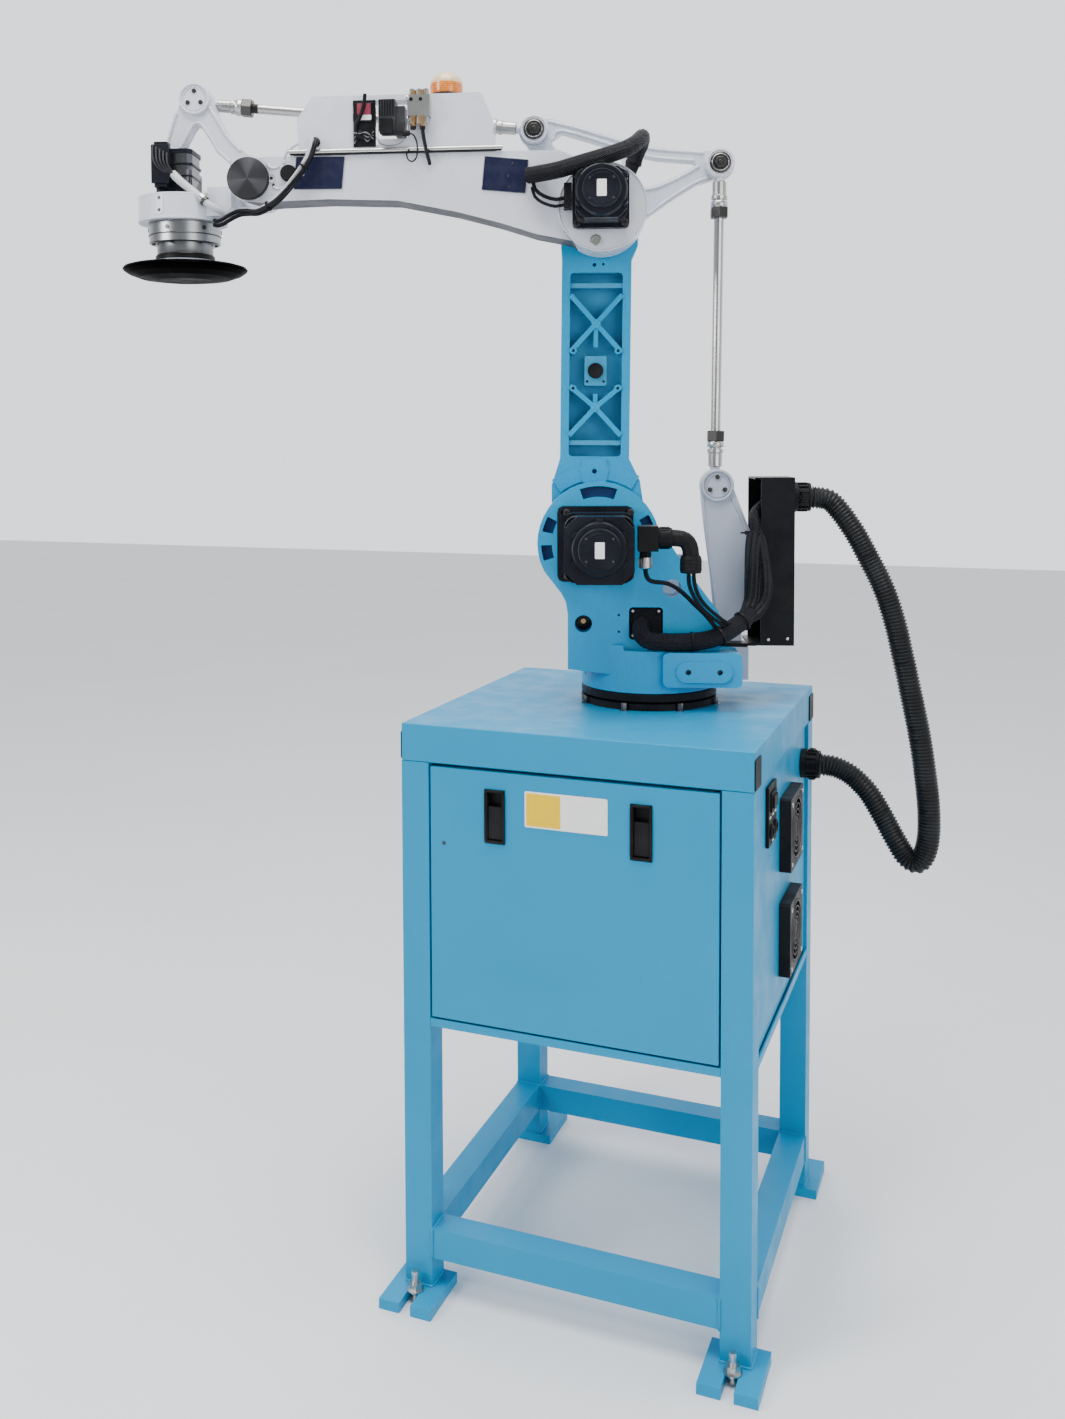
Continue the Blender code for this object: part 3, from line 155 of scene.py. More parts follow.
def torus(bm, major, minor, place=Matrix(), count=40, sides=8):
    rings = []
    for k in range(count):
        turn = 2 * pi * k / count
        ring = []
        for s in range(sides):
            a = 2 * pi * s / sides
            r = major + minor * cos(a)
            ring.append(bm.verts.new(place @ Vector((r * cos(turn), r * sin(turn), minor * sin(a)))))
        rings.append(ring)
    ring_faces(bm, [*rings, rings[0]], closed=False)


def plate(bm, outline, low, high, place=Matrix()):
    """An outline in the local x and y, raised from low to high along z."""
    rings = [[bm.verts.new(place @ Vector((a, b, h))) for a, b in outline] for h in (low, high)]
    ring_faces(bm, rings)


def block(bm, x0, x1, y0, y1, z0, z1, place=Matrix()):
    plate(bm, ((x0, y0), (x1, y0), (x1, y1), (x0, y1)), z0, z1, place)


def rounded(x0, x1, y0, y1, radius, count=5):
    outline = []
    for x, y, start in ((x1, y1, 0), (x0, y1, 90), (x0, y0, 180), (x1, y0, 270)):
        cx = x - radius if start in (0, 270) else x + radius
        cy = y - radius if start in (0, 90) else y + radius
        for k in range(count + 1):
            turn = radians(start + 90 * k / count)
            outline.append((cx + radius * cos(turn), cy + radius * sin(turn)))
    return outline


def smooth_path(points, steps=6):
    """A Catmull-Rom curve through the points."""
    pts = [Vector(p) for p in points]
    pts = [2 * pts[0] - pts[1], *pts, 2 * pts[-1] - pts[-2]]
    path = []
    for p0, p1, p2, p3 in zip(pts, pts[1:], pts[2:], pts[3:]):
        for k in range(steps):
            t = k / steps
            path.append(
                0.5 * (
                    2 * p1 + (p2 - p0) * t + (
                        2 * p0 - 5 * p1 + 4 * p2 - p3
                    ) * t**2 + (3 * p1 - p0 - 3 * p2 + p3) * t**3
                )
            )
    return [*path, pts[-2]]


def sweep(bm, path, radii, count=12, place=Matrix()):
    """A round bar along a path; radii is one radius or one for each point."""
    path = [Vector(p) for p in path]
    radii = radii if isinstance(radii, list) else [radii] * len(path)
    rings, side = [], None
    turns = [2 * pi * k / count for k in range(count)]
    for i, (here, radius) in enumerate(zip(path, radii)):
        along = (path[min(i + 1, len(path) - 1)] - path[max(i - 1, 0)]).normalized()
        side = along.orthogonal() if side is None else side
        side = (side - along * side.dot(along)).normalized()
        other = along.cross(side)
        points = [place @ (here + radius * (side * cos(t) + other * sin(t))) for t in turns]
        rings.append([bm.verts.new(point) for point in points])
    ring_faces(bm, rings)
    return path


def strands(path, spread, count, phase, twist):
    """Paths that wind together round a middle path, for a bundle of leads."""
    sides, made = [], []
    side = (path[1] - path[0]).orthogonal()
    for k, here in enumerate(path):
        along = (path[min(k + 1, len(path) - 1)] - path[max(k - 1, 0)]).normalized()
        side = (side - along * side.dot(along)).normalized()
        sides.append((here, side.copy(), along.cross(side)))
    for n in range(count):
        turns = [phase + 2 * pi * n / count + twist * k for k in range(len(path))]
        made.append([p + spread * (a * cos(t) + b * sin(t)) for (p, a, b), t in zip(sides, turns)])
    return made


def evenly(path, step):
    """The same path with points a fixed step apart."""
    spread, left = [path[0]], step
    for a, b in zip(path, path[1:]):
        span = (b - a).length
        while left <= span:
            spread.append(a.lerp(b, left / span))
            left += step
        left -= span
    return [*spread, path[-1]]


def screw(bm, place, radius, height):
    """A socket screw's head, standing on the local z = 0 face."""
    lathe(
        bm, [(radius, 0.0), (radius, height * 0.8), (radius * 0.86, height), (radius * 0.5, height)], place,
        20,
    )
    lathe(bm, [(radius * 0.48, height * 1.001), (radius * 0.44, height * 1.03)], place, 6)


def bolt(bm, place, radius, height):
    """A hexagon bolt's head on its washer."""
    lathe(bm, [(radius * 1.3, 0.0), (radius * 1.3, 0.0012), (radius * 1.25, 0.0015)], place, 24)
    lathe(bm, [(radius, 0.0012), (radius, height * 0.85), (radius * 0.85, height)], place, 6)


def piece(bm, name, body, place, paint, angle=35.0, bevel=0.0, slot=None):
    """Turns the mesh into one named object in the link's frame and lets it ride on the body.

    The slot is not used: where none is named, the paint's own one in SLOTS is looked up, and nothing reads
    it.
    """
    bmesh.ops.recalc_face_normals(bm, faces=bm.faces)
    mesh = bpy.data.meshes.new(name)
    bm.to_mesh(mesh)
    bm.free()
    mesh.transform(place)
    mesh.materials.append(paints[paint])
    mesh.shade_smooth()
    mesh.set_sharp_from_angle(angle=radians(angle))
    made = bpy.data.objects.new(name, mesh)
    bpy.context.scene.collection.objects.link(made)
    if bevel:
        edge = made.modifiers.new("Bevel", "BEVEL")
        edge.width, edge.segments, edge.limit_method = bevel, 2, "ANGLE"
        edge.angle_limit = radians(40)
        edge.harden_normals = True
    if body:
        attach(made, body)
    slot = slot or SLOTS.get(paint)
    return made


def pieces(body, place, *rows):
    """Several pieces of one link; a row is the mesh, name and paint, then the angle and bevel if needed."""
    for bm, name, paint, *options in rows:
        piece(bm, name, body, place, paint, *options)


# ---------------------------------------------------------------- materials
class Surface:
    """A procedural material: each call adds one kind of detail to the same shader."""

    def __init__(self, name, colour, roughness, metallic=0.0, coat=0.0, specular=0.3):
        self.material = bpy.data.materials.new(name)
        self.material.use_nodes = True
        self.tree = self.material.node_tree
        self.shader = self.tree.nodes["Principled BSDF"]
        self.set(Metallic=metallic, Specular_IOR_Level=specular, Coat_Weight=coat, Coat_Roughness=0.12)
        self.place = self.add("ShaderNodeTexCoord").outputs["Object"]
        self.colour, self.rough, self.height = (*colour, 1.0), roughness, None

    def set(self, **values):
        """Inputs of the shader itself, with _ for the spaces in their names."""
        self.feed(self.shader, {key.replace("_", " "): value for key, value in values.items()})
        return self

    def feed(self, node, inputs):
        """Gives a node's inputs plain values or the outputs of other nodes."""
        for key, value in inputs.items():
            if isinstance(value, bpy.types.NodeSocket):
                self.tree.links.new(value, node.inputs[key])
            else:
                node.inputs[key].default_value = value
        return node

    def add(self, kind, inputs=None, **settings):
        made = self.tree.nodes.new(kind)
        for key, value in settings.items():
            setattr(made, key, value)
        return self.feed(made, inputs or {})

    def maths(self, operation, first, second=0.0):
        return self.add("ShaderNodeMath", {0: first, 1: second}, operation=operation).outputs[0]

    def noise(self, scale, detail=4.0, stretch=None):
        place = self.place
        if stretch:
            place = self.add("ShaderNodeMapping", {"Scale": stretch, "Vector": place}).outputs["Vector"]
        values = {"Scale": scale, "Detail": detail, "Vector": place}
        return self.add("ShaderNodeTexNoise", values).outputs["Fac"]

    def ramp(self, source, low, high, out_low=0.0, out_high=1.0):
        values = {"Value": source, "From Min": low, "From Max": high, "To Min": out_low, "To Max": out_high}
        return self.add("ShaderNodeMapRange", values, interpolation_type="SMOOTHSTEP").outputs["Result"]

    def mix(self, amount, colour):
        values = {"Factor": amount, "A": self.colour, "B": (*colour, 1.0)}
        self.colour = self.add("ShaderNodeMix", values, data_type="RGBA").outputs["Result"]
        return self

    def cloud(self, colour, scale, amount):
        """Broad drifts of another shade."""
        return self.mix(self.ramp(self.noise(scale), 0.42, 0.68, 0.0, amount), colour)

    def grime(self, colour=(0.05, 0.045, 0.04), scale=9.0, amount=0.35):
        """Dirt in fine uneven patches, duller than the paint."""
        mask = self.ramp(self.noise(scale, 9.0), 0.56, 0.78, 0.0, amount)
        self.mix(mask, colour)
        return self.dull(mask, 0.7)

    def scuffs(self, colour, stretch, amount, low):
        """Thin scratches across one direction."""
        return self.mix(self.ramp(self.noise(1.0, 5.0, stretch), low, low + 0.05, 0.0, amount), colour)

    def wear(self, colour, amount, low, high):
        """Lighter worn edges, broken up by noise."""
        edge = self.ramp(self.add("ShaderNodeNewGeometry").outputs["Pointiness"], low, high)
        patches = self.ramp(self.noise(60.0), 0.45, 0.6, 0.0, amount)
        return self.mix(self.maths("MULTIPLY", edge, patches), colour)

    def dull(self, mask, roughness):
        values = {"Factor": mask, "A": self.rough, "B": roughness}
        self.rough = self.add("ShaderNodeMix", values, data_type="FLOAT").outputs["Result"]
        return self

    def uneven(self, scale, spread):
        """Small changes of gloss."""
        self.rough = self.maths("ADD", self.rough, self.ramp(self.noise(scale), 0.3, 0.7, -spread, spread))
        return self

    def bump(self, source, distance, strength=1.0):
        values = {"Strength": strength, "Distance": distance, "Height": source}
        if self.height is not None:
            values["Normal"] = self.height
        self.height = self.add("ShaderNodeBump", values).outputs["Normal"]
        return self

    def grain(self, scale, distance, strength=1.0, stretch=None):
        return self.bump(self.noise(scale, 3.0, stretch), distance, strength)

    def weave(self, scale, distance, colour):
        """Crossed threads of a braid."""
        for turn in (0.8, -0.8):
            turned = self.add("ShaderNodeMapping", {"Rotation": (0.0, turn, 0.3), "Vector": self.place})
            values = {"Scale": scale, "Vector": turned.outputs["Vector"]}
            wave = self.add("ShaderNodeTexWave", values, wave_type="BANDS").outputs["Fac"]
            self.bump(wave, distance).mix(self.ramp(wave, 0.6, 1.0, 0.0, 0.5), colour)
        return self

    def done(self):
        self.set(Base_Color=self.colour, Roughness=self.rough)
        if self.height is not None:
            self.set(Normal=self.height)
        return self.material


def cast_paint(name, colour, roughness, coat):
    """Sprayed paint over a casting: orange peel, slight drifts of shade, chipped edges."""
    pale = tuple(min(1.0, c * 1.25 + 0.02) for c in colour)
    dark = tuple(c * 0.8 for c in colour)
    look = Surface(name, colour, roughness, coat=coat, specular=0.2)
    look.cloud(pale, 4.0, 0.25).cloud(dark, 8.0, 0.22).grime(amount=0.05).wear(pale, 0.35, 0.56, 0.64)
    return look.uneven(24.0, 0.06).grain(260.0, 0.0006, 0.35).grain(38.0, 0.0012, 0.25).done()


def sheet_paint(name, colour):
    """Powder coat on sheet steel, scuffed and a little dusty."""
    pale = tuple(min(1.0, c * 1.3 + 0.01) for c in colour)
    dark = tuple(c * 0.78 for c in colour)
    look = Surface(name, colour, 0.4, specular=0.16)
    look.cloud(pale, 1.6, 0.22).cloud(dark, 3.5, 0.18).grime(dark, 3.0, 0.16)
    look.scuffs(pale, (10.0, 10.0, 160.0), 0.3, 0.7).scuffs(dark, (180.0, 12.0, 12.0), 0.25, 0.72)
    return look.uneven(18.0, 0.07).grain(420.0, 0.0004, 0.4).done()


def moulded(name, colour, roughness=0.5, grain=500.0, pale=None):
    look = Surface(name, colour, roughness, specular=0.16)
    look.cloud(pale or tuple(c * 1.8 + 0.01 for c in colour), 14.0, 0.5)
    return look.grime((0.05, 0.05, 0.05), 16.0, 0.12).uneven(30.0, 0.08).grain(grain, 0.0004, 0.4).done()


def disc_gloss(name):
    """Near-black polished plastic with faint marks from handling."""
    look = Surface(name, (0.0004, 0.0004, 0.0005), 0.34, specular=0.004)
    look.cloud((0.0008, 0.0009, 0.0009), 20.0, 0.4)
    look.scuffs((0.002, 0.002, 0.002), (60.0, 60.0, 8.0), 0.2, 0.72)
    return look.uneven(30.0, 0.06).grain(90.0, 0.0003, 0.3).done()


def steel(name, colour, roughness, stretch=None):
    look = Surface(name, colour, roughness, metallic=1.0)
    look.cloud(tuple(c * 0.72 for c in colour), 6.0, 0.35).grime((0.1, 0.09, 0.08), 14.0, 0.12)
    look.uneven(12.0, 0.05)
    return look.grain(1.0, 0.0001, 0.25, stretch or (300.0, 300.0, 18.0)).done()


def braid(name, colour, pale):
    look = Surface(name, colour, 0.5, specular=0.2).cloud(pale, 30.0, 0.4)
    return look.weave(130.0, 0.0009, pale).grain(700.0, 0.0003, 0.4).done()


def clear_tube(name):
    look = Surface(name, (0.86, 0.88, 0.9), 0.12).cloud((0.6, 0.63, 0.66), 60.0, 0.5)
    return look.grain(200.0, 0.0002, 0.3).set(Transmission_Weight=0.55, IOR=1.45).done()


def lens(name, colour):
    look = Surface(name, colour, 0.16, coat=0.6).cloud(tuple(c * 0.6 for c in colour), 40.0, 0.5)
    return look.grain(160.0, 0.0004, 0.4).set(Transmission_Weight=0.35, IOR=1.49).done()


def glow(name, colour, power):
    look = Surface(name, colour, 0.3).cloud(tuple(c * 0.7 for c in colour), 90.0, 0.5)
    return look.set(Emission_Color=look.colour, Emission_Strength=power).done()


def radial_brushed(name, colour, centre, axis_turn):
    """A turned face with fine rings as bumps, and painted highlights: lighter wedges in its colour fanning
    out from its middle.
    """
    look = Surface(name, colour, 0.42, metallic=0.75)
    values = {"Location": centre, "Rotation": axis_turn, "Vector": look.place}
    place = look.add("ShaderNodeMapping", values, vector_type="TEXTURE").outputs["Vector"]
    round_it = look.add("ShaderNodeTexGradient", {"Vector": place}, gradient_type="RADIAL").outputs["Fac"]
    # painted highlight: three lighter wedges round the middle, mixed into the colour
    painted_highlight_wedges = look.maths("SINE", look.maths("MULTIPLY", round_it, 2 * pi * 3))
    look.mix(look.ramp(painted_highlight_wedges, -0.2, 1.0, 0.0, 0.75), tuple(c * 2.2 for c in colour))
    values = {"Scale": 260.0, "Vector": place}
    rings = look.add("ShaderNodeTexWave", values, wave_type="RINGS", rings_direction="Z").outputs["Fac"]
    return look.bump(rings, 0.0002, 0.6).done()


def blank_label(name):
    look = Surface(name, (0.8, 0.8, 0.79), 0.4).cloud((0.7, 0.7, 0.71), 40.0, 0.4)
    return look.grime((0.55, 0.54, 0.53), 60.0, 0.2).grain(300.0, 0.0003, 0.4).done()


def floor_paint(name):
    look = Surface(name, (0.86, 0.865, 0.87), 0.55).cloud((0.82, 0.825, 0.83), 1.5, 0.5)
    return look.grain(80.0, 0.0004, 0.2).done()


def make_paints():
    return {
        "cabinet": sheet_paint("cabinet_paint", (0.002, 0.25, 0.47)),
        "blue": cast_paint("robot_paint", (0.001, 0.278, 0.53), 0.28, 0.15),
        # painted shade: a darker copy of the robot blue for the upright's pocket, where shade falls
        "pocket_shade": cast_paint("pocket_shade_paint", (0.03, 0.27, 0.47), 0.4, 0.0),
        "white": cast_paint("white_paint", (0.575, 0.595, 0.66), 0.28, 0.3),
        "grey": cast_paint("grey_paint", (0.38, 0.415, 0.49), 0.42, 0.1),
        # painted shade: a near-black copy of the white paint for the forearm's downward faces
        "underside_shade": cast_paint("shaded_paint", (0.062, 0.066, 0.08), 0.5, 0.0),
        "column": moulded("column_coat", (0.002, 0.0025, 0.004), 0.38, 320.0, (0.006, 0.007, 0.01)),
        "black": moulded("black_plastic", (0.004, 0.004, 0.005)),
        # painted shade: a dark blue for the floors of the turret's slots, where shade falls
        "slot": cast_paint("slot_floor_shade", (0.003, 0.03, 0.11), 0.5, 0.0),
        "gloss": disc_gloss("disc_gloss"),
        "motor": moulded("motor_paint", (0.006, 0.007, 0.011), 0.34, 240.0, (0.015, 0.017, 0.026)),
        "navy": cast_paint("navy_cover", (0.005, 0.007, 0.03), 0.36, 0.3),
        "steel": steel("bare_steel", (0.42, 0.42, 0.42), 0.26, (18.0, 18.0, 500.0)),
        "zinc": steel("zinc_plate", (0.56, 0.56, 0.54), 0.28),
        "rod": steel("rod_steel", (0.46, 0.45, 0.44), 0.3, (120.0, 120.0, 6.0)),
        "socket": steel("socket_steel", (0.52, 0.52, 0.5), 0.34, (60.0, 60.0, 60.0)),
        "brass": steel("brass", (0.62, 0.4, 0.2), 0.3),
        "flange_steel": steel("flange_steel", (0.3, 0.31, 0.32), 0.34, (18.0, 18.0, 500.0)),
        # painted shade: a darker copy of the flange steel for the neck below the ring
        "neck_shaded_steel": steel("neck_shaded_steel", (0.2, 0.205, 0.21), 0.34, (18.0, 18.0, 500.0)),
        "dark_steel": steel("dark_steel", (0.075, 0.072, 0.07), 0.36),
        "sheen": steel("motor_sheen", (0.15, 0.15, 0.16), 0.24, (500.0, 500.0, 18.0)),
        "rubber": moulded("hose_plastic", (0.01, 0.011, 0.012), 0.42, 400.0, (0.026, 0.029, 0.031)),
        "braid": braid("braided_sleeve", (0.003, 0.003, 0.005), (0.012, 0.013, 0.018)),
        "lead": moulded("lead_jacket", (0.004, 0.004, 0.006), 0.36, 600.0),
        "grey_lead": moulded("grey_lead_jacket", (0.16, 0.165, 0.18), 0.45, 500.0),
        "label": blank_label("blank_label"),
        "plug_grey": moulded("plug_grey", (0.03, 0.031, 0.034), 0.42, 300.0),
        "clear": clear_tube("clear_hose"),
        "amber": lens("amber_lens", (0.9, 0.27, 0.02)),
        "pale_amber": lens("pale_amber_lens", (0.95, 0.72, 0.42)),
        "yellow": moulded("plain_yellow", (0.8, 0.52, 0.004), 0.4, 300.0, (0.82, 0.56, 0.015)),
        "white_hose": moulded("conduit_jacket", (0.48, 0.49, 0.52), 0.42, 400.0, (0.58, 0.59, 0.62)),
        "red": glow("red_display", (0.22, 0.035, 0.06), 0.25),
        # painted highlight: lighter wedges in the cap's colour
        "turned_cap": radial_brushed(
            "turned_cap", (0.034, 0.034, 0.038), WRIST @ CAP_CENTRE, (radians(90), 0.0, REST),
        ),
        "floor": floor_paint("pale_floor"),
    }


paints = make_paints()
SLOTS = {
    paint: slot
    for slot, keys in {
        "cabinet_paint": ("cabinet",),
        "robot_paint": ("blue",),
        "white_paint": ("white", "label", "white_hose"),
        "black_plastic": ("black", "gloss", "turned_cap"),
        "bare_steel": (
            "zinc", "dark_steel", "sheen", "steel", "flange_steel", "neck_shaded_steel", "socket", "rod",
        ),
        "hose_plastic": ("rubber", "lead", "clear"),
        "amber_lens": ("amber", "pale_amber", "yellow"),
        "motor_paint": ("motor",),
    }.items()
    for paint in keys
}


def dress_nodes():
    """Gives each carried-over node its finish."""
    finish = {
        "cabinet": ["leg_", "rail_", "top_cap", "floor_pan", "side_panel", "back_panel", "door"],
        "blue": ["turret", "upright"],
        "white": ["bell_crank", "forearm", "wrist", "tray"],
        "grey": ["drive_unit", "link_bracket"],
        "black": [
            "latch", "paddle", "fan_", "switch_plate", "gland", "base_ring", "turret_ring", "j2_connector",
            "pressure_switch", "pivot_cap",
        ],
        "plug_grey": ["valve_coil"],
        "column": ["cable_column"],
        "gloss": ["suction_disc"],
        "motor": ["j2_motor", "j3_motor", "j4_motor"],
        "navy": ["arm_cover"],
        "zinc": ["anchor_", "solenoid_valve"],
        "steel": ["tool_flange"],
        "rod": ["rod_"],
        "braid": ["harness", "arm_sleeve"],
        "rubber": ["cable_hose", "wrist_hoses"],
        "amber": ["beacon"],
    }
    for name, made in nodes.items():
        fits = [
            (len(start), key)
            for key, starts in finish.items()
            for start in starts
            if name.startswith(start)
        ]
        made.data.materials.clear()
        made.data.materials.append(paints[max(fits)[1]])
        made.data.shade_smooth()
        made.data.set_sharp_from_angle(angle=radians(32))


def second_paint(name, paint, link, test):
    """Gives the faces that the test picks, by their middle and normal in the link's frame, another paint."""
    data = nodes[name].data
    data.materials.append(paints[paint])
    back = link.inverted()
    turn = back.to_3x3()
    for face in data.polygons:
        if test(back @ face.center, turn @ face.normal):
            face.material_index = len(data.materials) - 1


def two_tone():
    """Other finishes on parts of nodes: tray base, turret foot, rod ends; and painted shade: a darker blue in
    the upright's pocket and the turret's slots, near-black on the forearm's underside.
    """
    # painted shade: faces inside the upright's pocket get the darker blue
    second_paint(
        "upright", "pocket_shade", UPRIGHT,
        lambda p, n: -0.0275 < p.y < 0.004 and abs(p.x + 0.008) < 0.0477 and 0.15 < p.z < 0.49,
    )
    # painted shade: the forearm's downward-facing faces get the near-black paint
    second_paint(
        "forearm", "underside_shade", FOREARM, lambda p, n: n.z < -0.6 and p.z < -0.01 and -0.62 < p.x < -0.04,
    )
    second_paint("tray", "grey", DECK, lambda p, n: p.z < 0.0112)
    second_paint("turret", "black", TURRET, lambda p, n: p.z < 0.0305)
    # painted shade: the recessed floors of the turret's slots get the dark blue
    second_paint(
        "turret", "slot", SHOULDER,
        lambda p, n: n.y < -0.9 and p.y > -0.096 and 0.08 < hypot(p.x, p.z) < 0.105,
    )
    eye, nut_low, nut_high = 0.033, 0.069, 0.0846
    second_paint("rod_1", "white", ROD_1, lambda p, n: min(p.z, LINK_1 - p.z) < eye)
    second_paint("rod_2", "white", ROD_2, lambda p, n: min(-p.x, LINK_2 + p.x) < eye)
    second_paint("rod_1", "dark_steel", ROD_1, lambda p, n: nut_low < min(p.z, LINK_1 - p.z) < nut_high)
    second_paint("rod_2", "dark_steel", ROD_2, lambda p, n: nut_low < min(-p.x, LINK_2 + p.x) < nut_high)
    second_paint("j4_motor", "sheen", WRIST, lambda p, n: 0.017 < p.z < 0.064 and p.x > -0.163)


# ---------------------------------------------------------------- free hose
HOSE_R = 0.0205


def corrugated_hose():
    """The hose hangs in one loop from the cable column down to the gland in the cabinet's side."""
    start = TURRET @ Vector((0.2935, 0, 0.374))
    route = [
        (0.35, 0.16, 1.365), (0.388, 0.161, 1.317), (0.418, 0.164, 1.262), (0.444, 0.166, 1.208),
        (0.463, 0.169, 1.15), (0.478, 0.173, 1.085), (0.493, 0.176, 1.015), (0.507, 0.18, 0.945),
        (0.518, 0.183, 0.872), (0.525, 0.187, 0.8), (0.523, 0.189, 0.742), (0.509, 0.191, 0.708),
        (0.488, 0.193, 0.712), (0.466, 0.195, 0.744), (0.442, 0.198, 0.786), (0.416, 0.2, 0.826),
        (0.386, 0.203, 0.853), (0.356, 0.2045, 0.866), (0.3295, 0.205, 0.868),
    ]
    path = smooth_path([start, *[(x + STAND_X, y, z) for x, y, z in route]], 8)
    pitch = 0.0062
    path = evenly(path, pitch / 4)[:-2] + [path[-1]]
    low = HOSE_R * 0.87
    radii = [(HOSE_R, HOSE_R, low, low)[k % 4] for k in range(len(path))]
    bm = bmesh.new()
    sweep(bm, path, radii, 24)
    made = piece(bm, "corrugated_hose", None, Matrix(), "rubber", angle=60.0)
    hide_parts("cable_hose")
    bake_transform(made)


# ---------------------------------------------------------------- stand pieces
def door_pieces():
    """Blank plate, latch rims, lock barrels, cup ribs and the screw on the door."""
    bm = bmesh.new()
    plate(bm, rounded(-0.076, 0.066, 0.844, 0.904, 0.003), 0.0004, 0.0012, at(0, FRONT_Y, 0, FRONT))
    piece(bm, "door_plate", "door", STAND, "label", bevel=0.0003)
    bm = bmesh.new()
    plate(bm, rounded(-0.073, -0.014, 0.847, 0.901, 0.002), 0.0012, 0.0015, at(0, FRONT_Y, 0, FRONT))
    piece(bm, "door_plate_field", "door", STAND, "yellow")
    rims, floors = blanks(2)
    for number, x in ((1, -0.129), (2, 0.1215)):
        rim = [
            Vector((a, FRONT_Y - 0.0024, b))
            for a, b in rounded(x - 0.0165, x + 0.0165, 0.812, 0.899, 0.006)
        ]
        sweep(rims, [*rim, rim[0], rim[1]], 0.0019, 10)
        barrel = bmesh.new()
        lathe(
            barrel, [(0.0062, 0), (0.0062, 0.0016), (0.005, 0.0024), (0.0016, 0.0024)],
            at(x, FRONT_Y + 0.0034, 0.8275, FRONT), 24,
        )
        piece(barrel, f"latch_lock_{number}", f"paddle_{number}", STAND, "dark_steel")
        for k in range(3):
            z = 0.862 + 0.006 * k
            block(floors, x - 0.0095, x + 0.0095, FRONT_Y + 0.0105, FRONT_Y + 0.0115, z, z + 0.0016)
    pieces("door", STAND, (rims, "latch_rims", "black", 60), (floors, "latch_cup_ribs", "black"))
    bm = bmesh.new()
    lathe(bm, [(0.0034, 0), (0.003, 0.0008), (0.0012, 0.0008)], at(-0.222, FRONT_Y, 0.801, FRONT), 20)
    piece(bm, "door_screw", "door", STAND, "dark_steel")


def weld(bm, outline, height, place=Matrix(), radius=0.0026):
    """A rippled bead along a closed outline of the local x and y."""
    corners = [Vector((*p, height)) for p in outline]
    path = evenly([*corners, corners[0]], 0.0025)
    radii = [radius * (1.0 + 0.16 * sin(2.4 * k)) for k in range(len(path))]
    sweep(bm, path, radii, 7, place)


def stand_pieces():
    """Weld beads, the plugs of the tube ends and the bolts of the base ring."""
    beads, plugs, bolts = blanks(3)
    tube, foot, rail = 0.05, 0.018, (0.07, 0.122)
    low_end, high_end = 0.938, 0.986
    for sx in (-1, 1):
        for sy in (-1, 1):
            x0, x1 = sorted((sx * (HALF - tube), sx * HALF))
            y0, y1 = sorted((sy * (HALF - tube), sy * HALF))
            weld(beads, rounded(x0, x1, y0, y1, 0.002, 2), foot + 0.001)
            y0, y1 = sorted((sy * (HALF - tube + 0.002), sy * (HALF - 0.001)))
            place = at(sx * (HALF + 0.0001), 0, 0, spin(90 * sx, "Y"))
            ends = sorted((-sx * low_end, -sx * high_end))
            plate(plugs, rounded(*ends, y0, y1, 0.004, 3), 0, 0.0022, place)
    for sign in (-1, 1):
        a0, a1 = sorted((sign * (HALF - tube), sign * HALF))
        for end in (-1, 1):
            edge = end * (HALF - tube - 0.0005)
            weld(beads, rounded(-rail[1], -rail[0], a0, a1, 0.002, 2), edge, SIDE)
            weld(beads, rounded(a0, a1, *rail, 0.002, 2), edge, FRONT)
    for k in range(8):
        bolt(bolts, spin(45 * k + 22.5) @ at(0.1275, 0, 0), 0.0058, 0.014)
    pieces("stand", STAND, (beads, "weld_beads", "cabinet", 60), (plugs, "tube_plugs", "black", 35, 0.0006))
    piece(bolts, "base_bolts", "stand", TURRET, "sheen")


def side_pieces():
    """Finger guards over the fans, and the rocker switch, the sockets and the blank marks beside them."""
    guards, screws, switch, marks = blanks(4)
    face = HALF + 0.0145
    fan_y, fan_heights, screw_offset = 0.03, (0.795, 0.61), 0.0525
    for z in fan_heights:
        for ring in range(5):
            torus(guards, 0.0135 + 0.0095 * ring, 0.001, at(face - 0.0006, fan_y, z, SIDE), 48, 6)
        for sy in (-1, 1):
            for sz in (-1, 1):
                spot = at(face - 0.0005, fan_y + sy * screw_offset, z + sz * screw_offset, SIDE)
                screw(screws, spot, 0.0042, 0.0018)
    plate_x = HALF - 0.0001
    plate(switch, rounded(-0.9, -0.868, -0.158, -0.112, 0.003), 0, 0.003, at(plate_x, 0, 0, SIDE))
    plate(switch, rounded(-0.894, -0.874, -0.152, -0.118, 0.002), 0.0028, 0.006, at(plate_x, 0, 0, SIDE))
    for y in (-0.153, -0.118):
        lathe(
            switch, [(0.012, 0), (0.012, 0.003), (0.0105, 0.0045), (0.008, 0.0045), (0.0075, 0.0015)],
            at(plate_x, y, 0.836, SIDE), 28,
        )
    for k, (y, z) in enumerate(((-0.16, 0.861), (-0.135, 0.861), (-0.112, 0.861), (-0.135, 0.818))):
        plate(
            marks, rounded(-z - 0.0016, -z + 0.0016, y - 0.006, y + 0.006, 0.0008, 2), 0, 0.0004,
            at(plate_x + 0.0002, 0, 0, SIDE),
        )
    pieces(
        "stand", STAND, (guards, "fan_finger_guards", "dark_steel", 60), (screws, "fan_screws", "zinc"),
        (switch, "switch_and_sockets", "black", 35, 0.0004), (marks, "switch_marks", "label"),
    )


